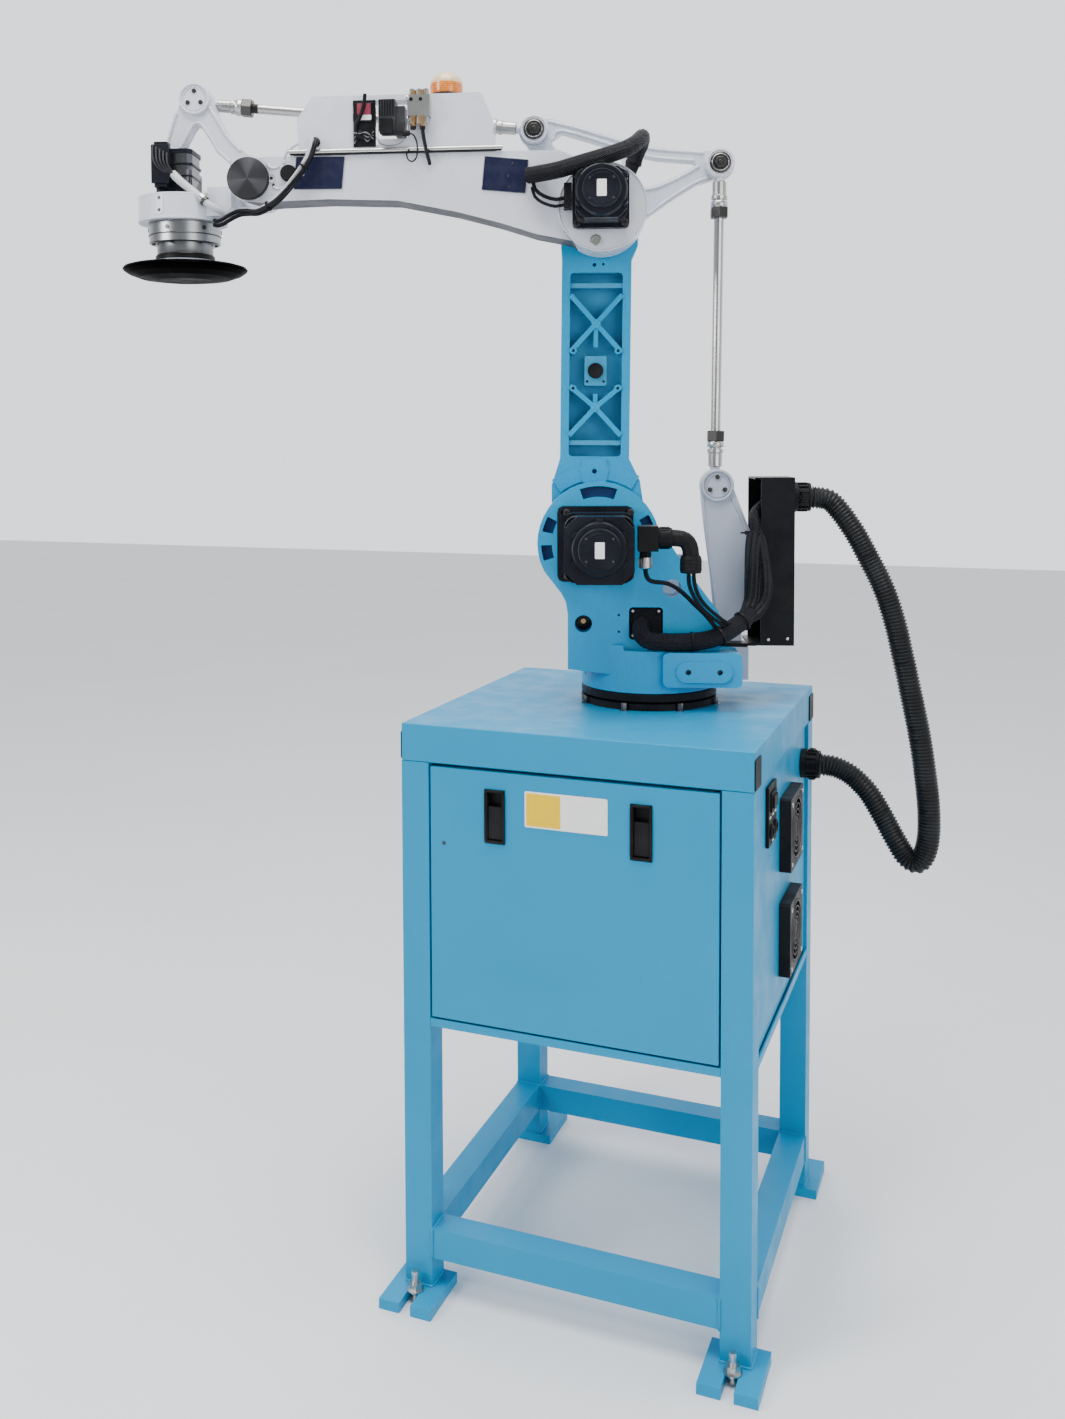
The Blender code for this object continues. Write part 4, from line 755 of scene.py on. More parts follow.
def gland_nut(bm, place):
    """The hose gland's ribbed nut and the two snap tabs on it."""
    for k in range(14):
        block(bm, 0.024, 0.0272, -0.0022, 0.0022, 0.012, 0.029, place @ spin(360 * k / 14))
    for side in (0, 180):
        block(bm, 0.0235, 0.0285, -0.009, 0.009, 0.0145, 0.0265, place @ spin(side))
        block(bm, 0.028, 0.03, -0.004, 0.004, 0.017, 0.024, place @ spin(side))


def glands():
    """The nuts of the two glands that hold the corrugated hose."""
    bm = bmesh.new()
    gland_nut(bm, at(HALF - 0.006, 0.205, 0.868, SIDE))
    piece(bm, "low_gland_nut", "stand", STAND, "black", bevel=0.0005)
    bm = bmesh.new()
    gland_nut(bm, at(0.258, 0, 0.374, SIDE @ spin(90)))
    piece(bm, "high_gland_nut", "turret", TURRET, "black", bevel=0.0005)


# ---------------------------------------------------------------- turret pieces
def motor_face(bm_bolts, bm_ribs, bm_label, half, length, cap_r, place):
    """Corner bolts, cap rings and a blank label on a servo motor's visible end."""
    for sx in (-1, 1):
        for sz in (-1, 1):
            x, z = sx * half * 0.84, sz * half * 0.84
            lathe(
                bm_bolts,
                [(0.0062, 0), (0.0062, 0.005), (0.0052, 0.0062), (0.003, 0.0062), (0.0028, 0.003)],
                place @ at(x, -0.016, z, FRONT), 20,
            )
    for depth in (0.46, 0.56, 0.66):
        y, wide = -length * depth, half * 0.872
        loop = [
            Vector((a, y, b - half * 0.02))
            for a, b in rounded(-wide, wide, -wide, wide * 0.93, half * 0.3, 4)
        ]
        sweep(bm_ribs, [*loop, loop[0], loop[1]], 0.0016, 8, place)
    lathe(
        bm_ribs,
        [
            (cap_r + 0.012, length * 0.7), (cap_r + 0.012, length * 0.895),
            (cap_r + 0.0095, length * 0.925), (cap_r + 0.001, length * 0.93),
        ],
        place @ FRONT, 48,
    )
    for turn in (-30, 30, 90, 150, 210):
        block(
            bm_ribs, cap_r + 0.006, cap_r + 0.0165, -0.0055, 0.0055, length * 0.7, length * 0.88,
            place @ FRONT @ spin(turn),
        )
    torus(bm_ribs, cap_r * 0.8, 0.0007, place @ at(0, -length, 0, FRONT), 44)
    wide, high = 0.008, 0.0138
    plate(
        bm_label, rounded(-wide, wide, -high, high, 0.0012, 3), 0.0001, 0.0004,
        place @ at(0, -length, 0, FRONT),
    )
    for turn in (40, 140, 220, 320):
        t = radians(turn)
        screw(
            bm_bolts, place @ at(cap_r * 0.84 * cos(t), -length + 0.0002, cap_r * 0.84 * sin(t), FRONT),
            0.0021, 0.0011,
        )


def motors():
    """The shoulder's and the elbow's servo motor: half width, length and cap radius of each."""
    for name, body, place, half, length, cap_r in (
        ("j2_motor", "turret", J2_MOTOR, 0.067, 0.158, 0.035),
        ("j3_motor", "forearm", J3_MOTOR, 0.049, 0.12, 0.031),
    ):
        bolts, ribs, label = blanks(3)
        motor_face(bolts, ribs, label, half, length, cap_r, place)
        piece(bolts, f"{name}_bolts", body, Matrix(), "dark_steel")
        piece(ribs, f"{name}_ribs", body, Matrix(), "motor", bevel=0.0006, angle=50)
        piece(label, f"{name}_label", body, Matrix(), "label")


def turret_pieces():
    """Screws and sockets of the turret, its grease nipple and the ribs of the power plug."""
    screws, dark, black, brass = blanks(4)
    for x, z in ((0.212, 0.118), (0.246, 0.12)):
        screw(screws, at(x, -0.05, z, FRONT), 0.0026, 0.0012)
    for x, z in ((-0.033, 0.131), (0.013, 0.131), (-0.033, 0.175), (0.013, 0.175)):
        screw(screws, at(x, -0.096, z, FRONT), 0.0026, 0.002)
    for x in (0.062, 0.117):
        lathe(dark, [(0.0048, 0), (0.0048, 0.008), (0.003, 0.008)], at(x, -0.1215, 0.0725, FRONT), 16)
    lathe(dark, [(0.015, 0), (0.015, 0.002), (0.012, 0.003)], at(-0.121, -0.056, 0.152, FRONT), 28)
    lathe(brass, [(0.0062, 0), (0.0062, 0.003), (0.0045, 0.0045)], at(-0.121, -0.059, 0.152, FRONT), 20)
    for x in (0.01, 0.0155, 0.021):
        torus(black, 0.0178, 0.0013, at(x, -0.185, 0.312, SIDE), 36)
    for z in (0.259, 0.265, 0.271):
        torus(black, 0.0178, 0.0012, at(0.062, -0.185, z), 36)
    for k in range(18):
        turn = spin(360 * k / 18)
        block(black, 0.0176, 0.0192, -0.0012, 0.0012, 0.009, 0.025, at(0, -0.185, 0.312, SIDE @ turn))
    pieces(
        "turret", TURRET, (screws, "turret_screws", "zinc"), (dark, "turret_sockets", "dark_steel"),
        (brass, "turret_grease_nipple", "brass"), (black, "power_plug_ribs", "black", 60),
    )


def harness_pieces():
    """Silver connector on the encoder lead, the bundle's strands and the ties that hold them."""
    silver, ties = blanks(2)
    lathe(
        silver, [(0.0092, 0.259), (0.0108, 0.261), (0.0108, 0.278), (0.0098, 0.279), (0.0098, 0.289)],
        at(-0.015, -0.178, 0), 32,
    )
    for k in range(16):
        turn = spin(360 * k / 16)
        block(silver, 0.0104, 0.0114, -0.0009, 0.0009, 0.263, 0.276, at(-0.015, -0.178, 0, turn))
    spots = (
        ((0.1188, -0.1175, 0.1345), (0.023, 0.01, 0.012), 0.0172),
        ((0.16, -0.0955, 0.1575), (0.023, 0.015, 0.015), 0.0174),
        ((0.187, -0.062, 0.312), (0.001, 0.004, 0.018), 0.014),
        ((0.07, -0.1212, 0.1243), (0.03, 0.001, 0.001), 0.0166),
    )
    for spot, way, radius in spots:
        place = at(*spot, facing(way))
        lathe(
            ties, [(radius, -0.0024), (radius + 0.001, -0.002), (radius + 0.001, 0.002), (radius, 0.0024)],
            place, 32,
        )
        block(ties, radius, radius + 0.005, -0.0034, 0.0034, -0.0034, 0.0034, place)
        block(ties, radius + 0.002, radius + 0.013, -0.001, 0.0002, -0.0016, 0.0016, place)
    near_lobe = [
        (0.172, -0.083, 0.17), (0.1745, -0.0755, 0.1744), (0.1803, -0.067, 0.194), (0.1819, -0.065, 0.2276),
        (0.1824, -0.065, 0.2613), (0.1836, -0.064, 0.2903), (0.1864, -0.0625, 0.313),
    ]
    far_lobe = [
        (0.176, -0.084, 0.165), (0.185, -0.079, 0.168), (0.1986, -0.07, 0.1855), (0.2047, -0.067, 0.2101),
        (0.2041, -0.0665, 0.237), (0.2007, -0.066, 0.2639), (0.1948, -0.065, 0.2951),
        (0.188, -0.0625, 0.315),
    ]
    leads = bmesh.new()
    for lobe, spread, radius, count in ((near_lobe, 0.0112, 0.0042, 8), (far_lobe, 0.0082, 0.0036, 7)):
        for path in strands(smooth_path(lobe, 5), spread, count, 0.4, 0.02):
            sweep(leads, path, radius, 8)
    pieces(
        "turret", TURRET, (leads, "harness_leads", "rubber", 60), (silver, "encoder_plug", "zinc"),
        (ties, "harness_ties", "black"),
    )


# ---------------------------------------------------------------- link pieces
def edge_rim(bm, points, face, radius=0.003):
    """A raised round-topped edge on a casting's face, along points in x and z."""
    sweep(bm, smooth_path([(x, face, z) for x, z in points], 4), radius, 8)


def boss_ring(rims, sockets, x, z, face, spread):
    """The rim round a boss and its three dark sockets."""
    place = at(x, face, z, FRONT)
    torus(rims, 0.0268, 0.0024, place, 48)
    torus(rims, 0.0212, 0.0009, place, 40)
    for k in range(3):
        turn = radians(90 + 120 * k)
        spot = place @ at(spread * cos(turn), spread * sin(turn), 0)
        lathe(
            sockets,
            [(0.0047, -0.002), (0.0047, 0.0005), (0.004, 0.0009), (0.0026, 0.0009), (0.0024, 0.0002)], spot,
            20,
        )
        torus(rims, 0.0052, 0.0007, spot, 20, 6)


def casting_rims():
    """Raised edges of the wrist lever, the bell crank and the bracket, with the bosses' sockets."""
    rims, sockets = blanks(2)
    face = -0.0085
    edge_rim(rims, [(-0.178, 0.09), (-0.17, 0.115), (-0.16, 0.144)], face, 0.0032)
    edge_rim(
        rims,
        [
            (-0.153, 0.08), (-0.135, 0.112), (-0.126, 0.124), (-0.113, 0.1225), (-0.093, 0.094),
            (-0.0815, 0.0735), (-0.06, 0.053),
        ], face, 0.0032,
    )
    edge_rim(
        rims, [(-0.0975, 0.154), (-0.085, 0.133), (-0.0765, 0.119), (-0.063, 0.097), (-0.039, 0.0715)],
        face, 0.0032,
    )
    boss_ring(rims, sockets, -0.124, 0.168, -0.0145, 0.014)
    pieces("wrist", WRIST, (rims, "wrist_rims", "white", 60), (sockets, "wrist_boss_sockets", "dark_steel"))
    rims, sockets = blanks(2)
    boss_ring(rims, sockets, 0.123, 0.396, -0.0222, 0.0155)
    edge_rim(rims, [(0.0975, 0.372), (0.103, 0.31), (0.116, 0.22), (0.128, 0.12)], -0.0165, 0.0022)
    edge_rim(
        rims, [(0.15, 0.372), (0.179, 0.308), (0.186, 0.25), (0.183, 0.202), (0.168, 0.16)], -0.0165,
        0.0022,
    )
    pieces(
        "turret", TURRET, (rims, "bracket_rims", "grey", 60),
        (sockets, "bracket_boss_sockets", "dark_steel"),
    )
    rims = bmesh.new()
    face = CRANK_FACE - 0.0005
    edge_rim(rims, [(-0.098, 0.187), (-0.042, 0.172), (0.058, 0.1405), (0.109, 0.13), (0.188, 0.1225)], face)
    edge_rim(
        rims,
        [(-0.09, 0.152), (-0.07, 0.169), (0.039, 0.134), (0.059, 0.1255), (0.105, 0.1155), (0.17, 0.1095)],
        face,
    )
    edge_rim(rims, [(0.086, 0.012), (0.1375, 0.048), (0.176, 0.07), (0.196, 0.077)], face)
    edge_rim(rims, [(0.07, 0.056), (0.105, 0.062), (0.152, 0.0825), (0.18, 0.099)], face)
    for x, z in ((-0.124, 0.168), (0.217, 0.1)):
        torus(rims, 0.0262, 0.0022, at(x, face, z, FRONT), 48)
    piece(rims, "crank_rims", "bell_crank", ELBOW, "white", angle=60)


def strip(bm, start, end, width, low, high, place):
    """A flat bar between two points of the local x and y."""
    a, b = Vector(start), Vector(end)
    along = (b - a).normalized()
    side = Vector((-along.y, along.x)) * (width / 2)
    plate(bm, [tuple(p) for p in (a - side, b - side, b + side, a + side)], low, high, place)


def upright_pieces():
    """Flanges along the pocket's ribs, the four small bosses beside its plate, and the bore's plug."""
    flanges, dark = blanks(2)
    cx, wide, depth = -0.008, 0.047, -0.0305
    place = at(0, 0, 0, FRONT)
    for middle, high, low in ((0.395, 0.447, 0.343), (0.243, 0.282, 0.192)):
        for side in (-1, 1):
            for z in (high, low):
                strip(
                    flanges, (cx, middle), (cx + side * wide, z), 0.009, -depth - 0.014, -depth + 0.0006,
                    place,
                )
        lathe(
            flanges, [(0.0085, -depth - 0.014), (0.0085, -depth + 0.0008), (0.0075, -depth + 0.0014)],
            at(cx, 0, middle, FRONT), 24,
        )
    strip(flanges, (cx, 0.395), (cx, 0.352), 0.0085, -depth - 0.02, -depth - 0.002, place)
    strip(flanges, (cx, 0.268), (cx, 0.243), 0.0085, -depth - 0.02, -depth - 0.002, place)
    for z in (0.346, 0.278):
        for side in (-1, 1):
            spot = at(cx + side * 0.0405, 0, z, FRONT)
            lathe(
                flanges, [(0.0072, -depth - 0.025), (0.0066, -depth + 0.0004), (0.0056, -depth + 0.0012)],
                spot, 24,
            )
            lathe(dark, [(0.0028, -depth + 0.0008), (0.0026, -depth + 0.0016)], spot, 16)
    for side in (-1, 1):
        lathe(dark, [(0.0024, 0), (0.0022, 0.0006)], at(cx + side * 0.015, -0.024, 0.2905, FRONT), 16)
    lathe(
        dark, [(0.0142, 0), (0.0142, 0.0008), (0.0122, 0.001), (0.0118, 0.0002)],
        at(cx, -0.024, 0.31, FRONT), 36,
    )
    pieces(
        "upright", UPRIGHT, (flanges, "upright_flanges", "blue", 35, 0.0008),
        (dark, "upright_bores", "black"),
    )


def pivot_nut(bm_dark, bm_steel, place):
    """The sunk nut and washer at the middle of a rod eye."""
    lathe(
        bm_dark, [(0.0195, 0), (0.0195, 0.0016), (0.018, 0.0026), (0.0165, 0.0026), (0.016, 0.001)], place,
        36,
    )
    torus(bm_steel, 0.015, 0.0012, place @ at(0, 0, 0.0024), 36)
    lathe(bm_dark, [(0.0115, 0), (0.0115, 0.005), (0.01, 0.0062), (0.005, 0.0062), (0.0048, 0.003)], place, 6)
    lathe(bm_dark, [(0.0042, 0), (0.0042, 0.0075), (0.0034, 0.0082)], place, 20)


def linkage_pieces():
    """Pivot nuts on the open eyes, and the eyes' own rims."""
    for name, x, z in (("front_pivot", -0.124, 0.168), ("rear_pivot", 0.217, 0.1)):
        dark, bright = blanks(2)
        pivot_nut(dark, bright, ELBOW @ at(x, 0.0195, z, FRONT))
        piece(dark, f"{name}_nut", "bell_crank", Matrix(), "dark_steel", bevel=0.0003)
        piece(bright, f"{name}_ring", "bell_crank", Matrix(), "steel", angle=60)
    for rod, link, spots in (("rod_1", ROD_1, (0, LINK_1)), ("rod_2", ROD_2, (-LINK_2, 0))):
        bm = bmesh.new()
        for along in spots:
            spot = (0, 0.0205, along) if rod == "rod_1" else (along, 0.0205, 0)
            torus(bm, 0.0235, 0.002, at(*spot, FRONT), 44)
        piece(bm, f"{rod}_eye_rims", rod, link, "white", angle=60)


def rod_fittings():
    """Collars, lock nuts and threads at both ends of the tie rods, and the bright bar between them."""
    thread_end = 0.112
    for rod, place, length in (("rod_1", ROD_1, LINK_1), ("rod_2", ROD_2 @ spin(-90, "Y"), LINK_2)):
        collars, nuts, bar = blanks(3)
        flats = spin(30)
        for end in (at(0, ROD_Y, 0, flats), at(0, ROD_Y, length, DOWN @ flats)):
            lathe(
                collars,
                [
                    (0.0112, 0.035), (0.0112, 0.069), (0.0148, 0.0696), (0.0156, 0.0708), (0.0156, 0.079),
                    (0.0148, 0.0802),
                ], end, 32,
            )
            lathe(nuts, [(0.0168, 0.0806), (0.0174, 0.0816), (0.0174, 0.0985), (0.016, 0.1)], end, 6)
            threads = [(0.009 if k % 2 else 0.0082, 0.0995 + 0.0009 * k) for k in range(15)]
            lathe(nuts, threads, end, 20)
        lathe(bar, [(0.0087, thread_end - 0.001), (0.0087, length - thread_end + 0.001)], at(0, ROD_Y, 0), 32)
        pieces(
            rod, place, (collars, f"{rod}_collars", "socket", 40),
            (nuts, f"{rod}_lock_nuts", "dark_steel", 25), (bar, f"{rod}_bar", "rod"),
        )


def forearm_pieces():
    """Plugs, screws and raised lips on the forearm's motor side."""
    black, dark, bright, lips = blanks(4)
    lathe(
        black, [(0.015, 0), (0.015, 0.008), (0.0135, 0.01), (0.006, 0.01)],
        at(-0.559, ARM_FACE, 0.015, FRONT), 28,
    )
    torus(black, 0.0072, 0.002, at(-0.5169, ARM_FACE, 0.0739, FRONT), 28)
    for x, z in ((-0.5905, 0.0052), (-0.5857, -0.0069)):
        lathe(dark, [(0.003, 0), (0.0028, 0.0006), (0.001, 0.0006)], at(x, ARM_FACE, z, FRONT), 16)
    for x, z in ((-0.1639, 0.0629), (-0.1698, 0.0407), (-0.1662, 0.0219)):
        screw(dark, at(x, ARM_FACE - 0.003, z, FRONT), 0.0022, 0.0012)
    screw(bright, at(-0.533, ARM_FACE - 0.003, 0.015, FRONT), 0.0022, 0.0012)
    lathe(
        bright, [(0.0098, 0), (0.0098, 0.003), (0.0086, 0.0042), (0.0062, 0.0042), (0.0058, 0.0014)],
        at(-0.006, -0.12, -0.06, FRONT), 28,
    )
    torus(lips, 0.0075, 0.0014, at(-0.5905, ARM_FACE, 0.0052, FRONT), 24)
    edge_rim(lips, [(-0.548, 0.07), (-0.564, 0.056), (-0.572, 0.04), (-0.569, 0.033)], ARM_FACE, 0.003)
    edge_rim(lips, [(-0.586, -0.01), (-0.576, -0.013), (-0.564, -0.008), (-0.558, -0.003)], ARM_FACE, 0.0024)
    edge_rim(lips, [(-0.6, 0.029), (-0.595, 0.024), (-0.585, 0.023), (-0.578, 0.027)], ARM_FACE, 0.0024)
    turns = [2 * pi * k / 72 for k in range(74)]
    sweep(lips, [(0.0765 * cos(t), -0.12, 0.0765 * sin(t)) for t in turns], 0.0016, 8)
    for cover in (
        ((-0.548, -0.0115), (-0.462, -0.004), (-0.462, 0.0525), (-0.548, 0.045)),
        ((-0.2135, 0.014), (-0.137, 0.014), (-0.137, 0.072), (-0.2135, 0.072)),
    ):
        corners = [Vector((x, ARM_FACE + 0.0004, z)) for x, z in cover]
        middle = sum(corners, Vector()) / 4
        wider = [middle + (c - middle) * 1.05 for c in corners]
        sweep(lips, evenly([*wider, wider[0]], 0.006), 0.0014, 8)
    pieces(
        "forearm", FOREARM, (black, "forearm_plugs", "black", 50),
        (dark, "forearm_dark_screws", "dark_steel"), (bright, "forearm_screws", "zinc"),
        (lips, "forearm_lips", "white", 60),
    )


def tray_pieces():
    """Switch display, coil plug, valve fittings and the leads in the tray."""
    black, brass, red, silver, leads, grey = blanks(6)
    face = -0.11
    plate(red, rounded(-0.069, -0.045, 0.069, 0.088, 0.0015, 2), 0.0002, 0.001, at(0, face, 0, FRONT))
    liner, pale = blanks(2)
    plate(liner, rounded(-0.0765, -0.0365, 0.013, 0.094, 0.0012, 2), -0.003, 0.0006, at(0, -0.108, 0, FRONT))
    for x in (-0.0765, -0.0377):
        block(liner, x, x + 0.0012, -0.1094, -0.106, 0.013, 0.094)
    plate(pale, rounded(-0.066, -0.044, 0.059, 0.068, 0.0015, 2), 0.0002, 0.0007, at(0, face, 0, FRONT))
    pieces(
        "forearm", DECK, (liner, "tray_window_liner", "black", 35, 0.0002),
        (pale, "switch_plate_blank", "label"),
    )
    rail = [(-0.192, -0.1095, 0.0062), (0.188, -0.1095, 0.0062)]
    sweep(silver, rail, 0.004, 20)
    block(black, -0.19, 0.186, -0.112, -0.1075, 0.0002, 0.0028)
    for k in range(6):
        x = -0.0285 + 0.0048 * k
        block(black, x, x + 0.0026, 0, 0.0016, 0.062, 0.09, at(0, face - 0.0152, 0))
    block(black, -0.0262, -0.004, -0.133, -0.1235, 0.03, 0.056)
    block(black, -0.022, 0.016, -0.129, -0.118, 0.028, 0.0345)
    lathe(black, [(0.0052, 0), (0.0052, 0.01), (0.004, 0.013)], at(0.013, -0.1235, 0.0312, SIDE), 20)
    for x in (0.0315, 0.048):
        lathe(
            brass, [(0.0068, 0.096), (0.0068, 0.102), (0.0056, 0.1022), (0.0056, 0.106), (0.0044, 0.1062)],
            at(x, -0.118, 0), 6,
        )
        lathe(
            brass, [(0.0042, 0.042), (0.0052, 0.044), (0.0052, 0.05), (0.0066, 0.0502), (0.0066, 0.06)],
            at(x, -0.118, 0), 6,
        )
        lathe(black, [(0.0048, 0.0385), (0.005, 0.043), (0.0046, 0.0445)], at(x, -0.118, 0), 20)
        lathe(black, [(0.0032, 0), (0.0032, 0.0006)], at(x - 0.002, -0.13, 0.088, FRONT), 16)
    lathe(silver, [(0.004, 0), (0.004, 0.004), (0.003, 0.005)], at(0.023, -0.13, 0.09, FRONT), 20)
    hose = smooth_path([
        (0.048, -0.118, 0.042), (0.0488, -0.1185, 0.03), (0.052, -0.119, 0.012), (0.056, -0.1185, -0.006),
        (0.0585, -0.115, -0.016), (0.059, -0.11, -0.02),
    ])
    sweep(leads, hose, 0.0034, 10)
    loop = smooth_path([
        (0.024, -0.1235, 0.0312), (0.033, -0.124, 0.027), (0.0385, -0.123, 0.012), (0.0375, -0.12, -0.008),
        (0.03, -0.118, -0.0165), (0.022, -0.117, -0.013), (0.019, -0.115, -0.003), (0.024, -0.112, 0.006),
        (0.03, -0.1085, 0.008),
    ])
    sweep(leads, loop, 0.0014, 8)
    thick = smooth_path([
        (-0.054, -0.115, 0.103), (-0.056, -0.116, 0.085), (-0.063, -0.115, 0.064), (-0.0715, -0.113, 0.05),
        (-0.069, -0.112, 0.033), (-0.056, -0.112, 0.026),
    ])
    sweep(leads, thick, 0.0034, 10)
    for k in range(5):
        y, lift = -0.1108 - 0.0008 * k, 0.0045 * k
        coil = smooth_path([
            (-0.0745, y, 0.018 + lift), (-0.064, y - 0.002, 0.04 - 0.3 * lift),
            (-0.051, y - 0.003, 0.021 + 0.8 * lift), (-0.04, y, 0.039 - 0.8 * lift),
        ])
        sweep(leads if k % 2 else grey, coil, 0.0019 if k % 2 else 0.001, 8)
    thin = smooth_path([
        (0.015, -0.1225, 0.029), (0.012, -0.118, 0.018), (-0.005, -0.112, 0.0135), (-0.025, -0.1085, 0.016),
        (-0.034, -0.106, 0.026), (-0.04, -0.1, 0.036),
    ])
    sweep(grey, thin, 0.0009, 6)
    for name, bm, paint in (
        ("valve_plug", black, "black"), ("valve_fittings", brass, "brass"), ("switch_display", red, "red"),
        ("tray_rail", silver, "zinc"), ("tray_leads", leads, "lead"),
        ("tray_thin_leads", grey, "grey_lead"),
    ):
        piece(bm, name, "forearm", DECK, paint, angle=50)


def hose_strands():
    """Two black air hoses and a clear one in place of the plain bundle from tray to flange housing."""
    route = [
        (-0.5169, -0.1085, 0.0739), (-0.5168, -0.1185, 0.0725), (-0.5203, -0.126, 0.045),
        (-0.5311, -0.129, 0.0205), (-0.5442, -0.13, -0.0008), (-0.5575, -0.13, -0.0193),
        (-0.5737, -0.128, -0.037), (-0.5907, -0.122, -0.0489), (-0.6083, -0.115, -0.0565),
        (-0.6269, -0.108, -0.057), (-0.6454, -0.098, -0.0585), (-0.666, -0.08, -0.065),
        (-0.683, -0.062, -0.0715), (-0.696, -0.049, -0.0738), (-0.7033, -0.0433, -0.0725),
    ]
    middle = smooth_path(route, 5)
    paths = strands(middle, 0.0048, 3, 0.6, 0.035)
    for index, (path, radius, paint) in enumerate(
        zip(paths, (0.0037, 0.0037, 0.003), ("lead", "lead", "clear"))
    ):
        bm = bmesh.new()
        sweep(bm, path, radius, 12)
        made = piece(bm, f"wrist_hose_{index + 1}", None, FOREARM, paint, angle=60)
        if index == 0:
            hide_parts("wrist_hoses")
        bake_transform(made)
    bm = bmesh.new()
    for k in (14, 34):
        here, after = middle[k], middle[k + 1]
        place = at(*here, facing(after - here))
        lathe(bm, [(0.0088, -0.0015), (0.0094, -0.0012), (0.0094, 0.0012), (0.0088, 0.0015)], place, 24)
    piece(bm, "hose_ties", "forearm", FOREARM, "black")


def wrist_pieces():
    """Conduit and clamp, motor bands and plug, lip and screws of the flange housing."""
    conduit, clamp, bands, leads, white, dark = blanks(6)
    route = smooth_path([
        (-0.156, -0.05, 0.024), (-0.142, -0.054, 0.011), (-0.1285, -0.057, 0), (-0.1061, -0.064, -0.0175),
        (-0.0892, -0.066, -0.0325), (-0.072, -0.062, -0.043), (-0.0604, -0.052, -0.05),
    ])
    sweep(conduit, route, [0.0078 - 0.0022 * k / (len(route) - 1) for k in range(len(route))], 16)
    place = at(-0.0975, -0.0652, -0.025, facing((0.0169, -0.002, -0.015)))
    lathe(clamp, [(0.008, -0.006), (0.0088, -0.0055), (0.0088, 0.0035), (0.008, 0.004)], place, 24)
    block(clamp, -0.003, 0.003, 0.007, 0.015, -0.0045, 0.0025, place)
    lathe(dark, [(0.0086, 0.005), (0.0092, 0.0055), (0.0092, 0.0085), (0.0086, 0.009)], place, 24)
    for low, high, wide in ((0.0425, 0.047, 0.035), (0.0205, 0.0245, 0.0354), (0.064, 0.0725, 0.0345)):
        plate(
            bands, rounded(-0.159 - wide, -0.159 + wide, -0.041 if low < 0.03 else -0.039, 0.036, 0.011, 4),
            low, high,
        )
    block(bands, -0.1935, -0.16, -0.059, -0.055, 0.006, 0.076)
    for k in range(5):
        x = -0.19 + 0.0066 * k
        lead = smooth_path([
            (x, -0.0585, 0.076 - 0.004 * k), (x + 0.001, -0.0625, 0.056 - 0.002 * k),
            (x + 0.007 - 0.001 * k, -0.063, 0.038), (-0.164 + 0.003 * k, -0.0555, 0.021),
        ])
        sweep(leads, lead, 0.0017, 8)
    tool_x = -0.1525
    for height, radius, swell in ((-0.059, 0.08, 0.0022), (-0.016, 0.0806, 0.0014)):
        torus(white, radius, swell, at(tool_x, 0, height), 72)
    tab = at(tool_x, 0, 0, spin(-104) @ SIDE)
    plate(white, rounded(0.017, 0.054, -0.0075, 0.0075, 0.007), 0.0806, 0.083, tab)
    for low in (0.024, 0.046):
        screw(dark, tab @ at(low, 0, 0.0829), 0.003, 0.0014)
    pieces(
        "wrist", WRIST, (conduit, "wrist_conduit", "white_hose", 60),
        (clamp, "conduit_clamp", "zinc", 35, 0.0004), (bands, "wrist_motor_bands", "motor", 35, 0.0008),
        (leads, "wrist_motor_leads", "plug_grey", 60), (white, "housing_lips", "white", 60),
        (dark, "housing_screws", "dark_steel"),
    )
    cap = bmesh.new()
    lathe(cap, [(0.0366, 0), (0.0366, 0.0004), (0.035, 0.0009), (0.001, 0.0009)], at(*CAP_CENTRE, FRONT), 56)
    piece(cap, "wrist_cap_face", "forearm", WRIST, "turned_cap", angle=50)


def fine_flange():
    """The output flange turned with a fine rim: steel ring, dark groove, neck in a darker copy of the steel
    as painted shade, grey seat on the disc.
    """
    bands = (
        (
            "tool_flange_ring", "flange_steel",
            [
                (0.04, -0.0982), (0.0645, -0.0982), (0.0654, -0.0975), (0.0654, -0.0848), (0.0642, -0.0842),
                (0.0642, -0.0834), (0.066, -0.0828), (0.0664, -0.0635), (0.06, -0.0624), (0.06, -0.0613),
            ],
        ),
        # painted shade: the neck is turned in a darker copy of the flange steel
        (
            "tool_flange_neck", "neck_shaded_steel",
            [(0.04, -0.1195), (0.051, -0.1195), (0.0515, -0.1188), (0.0515, -0.098), (0.04, -0.098)],
        ),
        (
            "tool_flange_groove", "black",
            [
                (0.04, -0.1296), (0.054, -0.1296), (0.0547, -0.1288), (0.0547, -0.1212), (0.0538, -0.1204),
                (0.0512, -0.1196), (0.04, -0.1196),
            ],
        ),
        (
            "tool_flange_seat", "grey",
            [
                (0.04, -0.1336), (0.0588, -0.1336), (0.06, -0.1326), (0.06, -0.1304), (0.059, -0.1297),
                (0.04, -0.1297),
            ],
        ),
    )
    for index, (name, paint, profile) in enumerate(bands):
        bm = bmesh.new()
        lathe(bm, profile, Matrix(), 96)
        made = piece(bm, name, "tool", TOOL, paint, 40, slot="bare_steel")
        if index == 0:
            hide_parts("tool_flange")


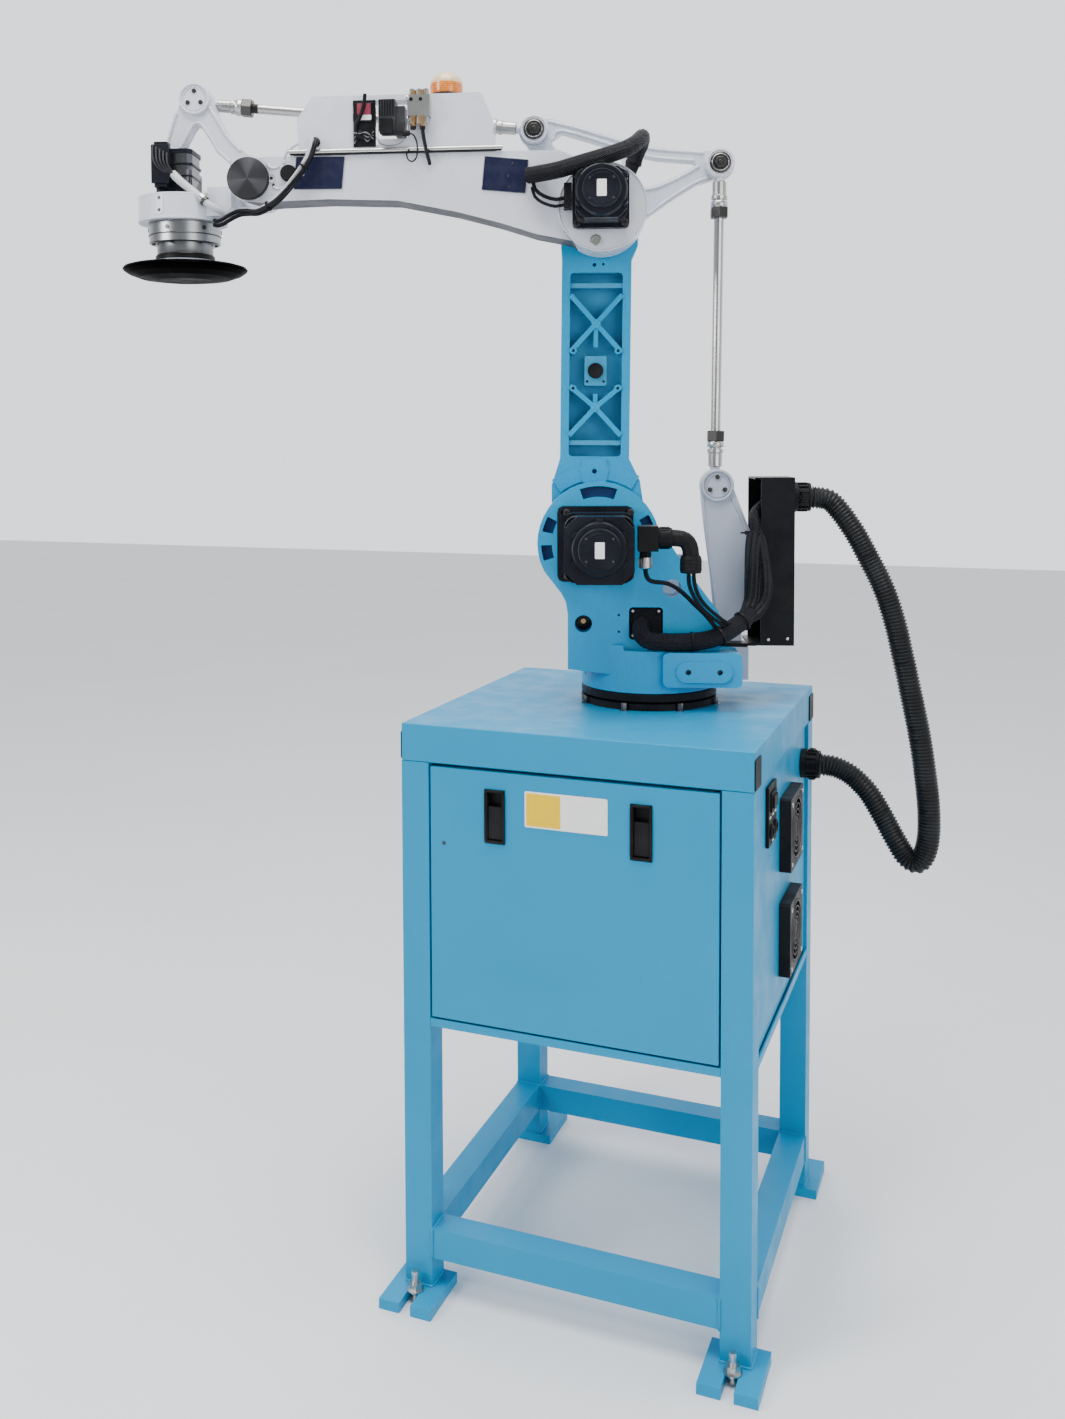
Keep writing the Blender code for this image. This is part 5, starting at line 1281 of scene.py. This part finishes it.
def tool_pieces():
    """Screws round the flange and its neck, and the disc's rolled lip."""
    dark, black = blanks(2)
    for k in range(6):
        turn = spin(360 * (k + 0.3) / 6)
        screw(dark, turn @ at(0.0575, 0, -0.0981, DOWN), 0.0034, 0.0026)
        lathe(dark, [(0.004, 0), (0.0038, 0.0012), (0.002, 0.0012)], turn @ at(0.0664, 0, -0.0735, SIDE), 16)
    torus(black, 0.1138, 0.0012, at(0, 0, -0.1446), 96)
    torus(dark, 0.0662, 0.001, at(0, 0, -0.0838), 72)
    torus(dark, 0.0521, 0.0009, at(0, 0, -0.1192), 60)
    pieces("tool", TOOL, (dark, "tool_screws", "dark_steel"), (black, "disc_lip", "gloss", 60))


def beacon_pieces():
    """The signal lamp: ribbed amber foot under a round glare-white dome."""
    centre = at(0.086, -0.073, 0)
    base, foot, dome = blanks(3)
    lathe(base, [(0.0288, 0.1035), (0.0288, 0.107), (0.0278, 0.108)], centre, 40)
    lathe(foot, [(0.0282, 0.1076), (0.029, 0.112), (0.0292, 0.12), (0.0288, 0.1262)], centre, 48)
    for height in (0.1105, 0.1145, 0.1185, 0.1225):
        torus(foot, 0.029, 0.0007, centre @ at(0, 0, height), 48)
    turns = [radians(6 * k) for k in range(15)]
    lathe(dome, [(0.0288 * cos(t), 0.1262 + 0.0215 * sin(t)) for t in turns], centre, 48)
    piece(base, "beacon_base", "forearm", DECK, "black", bevel=0.0004)
    lamp = piece(foot, "beacon_foot", "forearm", DECK, "amber", angle=60)
    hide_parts("beacon")
    piece(dome, "beacon_dome", "forearm", DECK, "pale_amber", angle=60)


# ---------------------------------------------------------------- stage
def soft_box(name, place, target, size, power):
    data = bpy.data.lights.new(name, "AREA")
    data.shape, data.size, data.energy = "SQUARE", size, power
    made = bpy.data.objects.new(name, data)
    bpy.context.scene.collection.objects.link(made)
    made.location = place
    made.rotation_euler = (Vector(target) - Vector(place)).to_track_quat("-Z", "Y").to_euler()


def stage():
    """The floor, a world that is brighter behind the object than before it, and three soft lights."""
    bm = bmesh.new()
    block(bm, -14.0, 14.0, -14.0, 14.0, -0.02, 0)
    piece(bm, "floor", None, Matrix(), "floor")
    world = bpy.data.worlds.new("studio")
    bpy.context.scene.world = world
    world.use_nodes = True
    tree = world.node_tree
    backdrop = tree.nodes["Background"]
    split = tree.nodes.new("ShaderNodeSeparateXYZ")
    tree.links.new(tree.nodes.new("ShaderNodeTexCoord").outputs["Generated"], split.inputs["Vector"])
    room = tree.nodes.new("ShaderNodeMapRange")
    room.interpolation_type = "SMOOTHSTEP"
    tree.links.new(split.outputs["Y"], room.inputs["Value"])
    for key, number in (("From Min", -0.35), ("From Max", 0.45), ("To Min", 0.42), ("To Max", 1.7)):
        room.inputs[key].default_value = number
    backdrop.inputs["Color"].default_value = (0.94, 0.96, 1.0, 1.0)
    tree.links.new(room.outputs["Result"], backdrop.inputs["Strength"])
    soft_box("top_light", (0.3, -0.9, 4.2), (0.2, 0, 1.2), 2.2, 150.0)
    soft_box("key_light", (-2.4, -3.4, 2.9), (0.2, 0, 1.2), 1.6, 105.0)
    soft_box("fill_light", (3.6, -2.6, 2.0), (0.3, 0, 1.1), 2.0, 55.0)


def build():
    camera()
    corrugated_hose()
    dress_nodes()
    two_tone()
    door_pieces()
    stand_pieces()
    side_pieces()
    glands()
    motors()
    turret_pieces()
    harness_pieces()
    upright_pieces()
    casting_rims()
    linkage_pieces()
    rod_fittings()
    forearm_pieces()
    tray_pieces()
    hose_strands()
    wrist_pieces()
    fine_flange()
    tool_pieces()
    beacon_pieces()
    stage()


build()
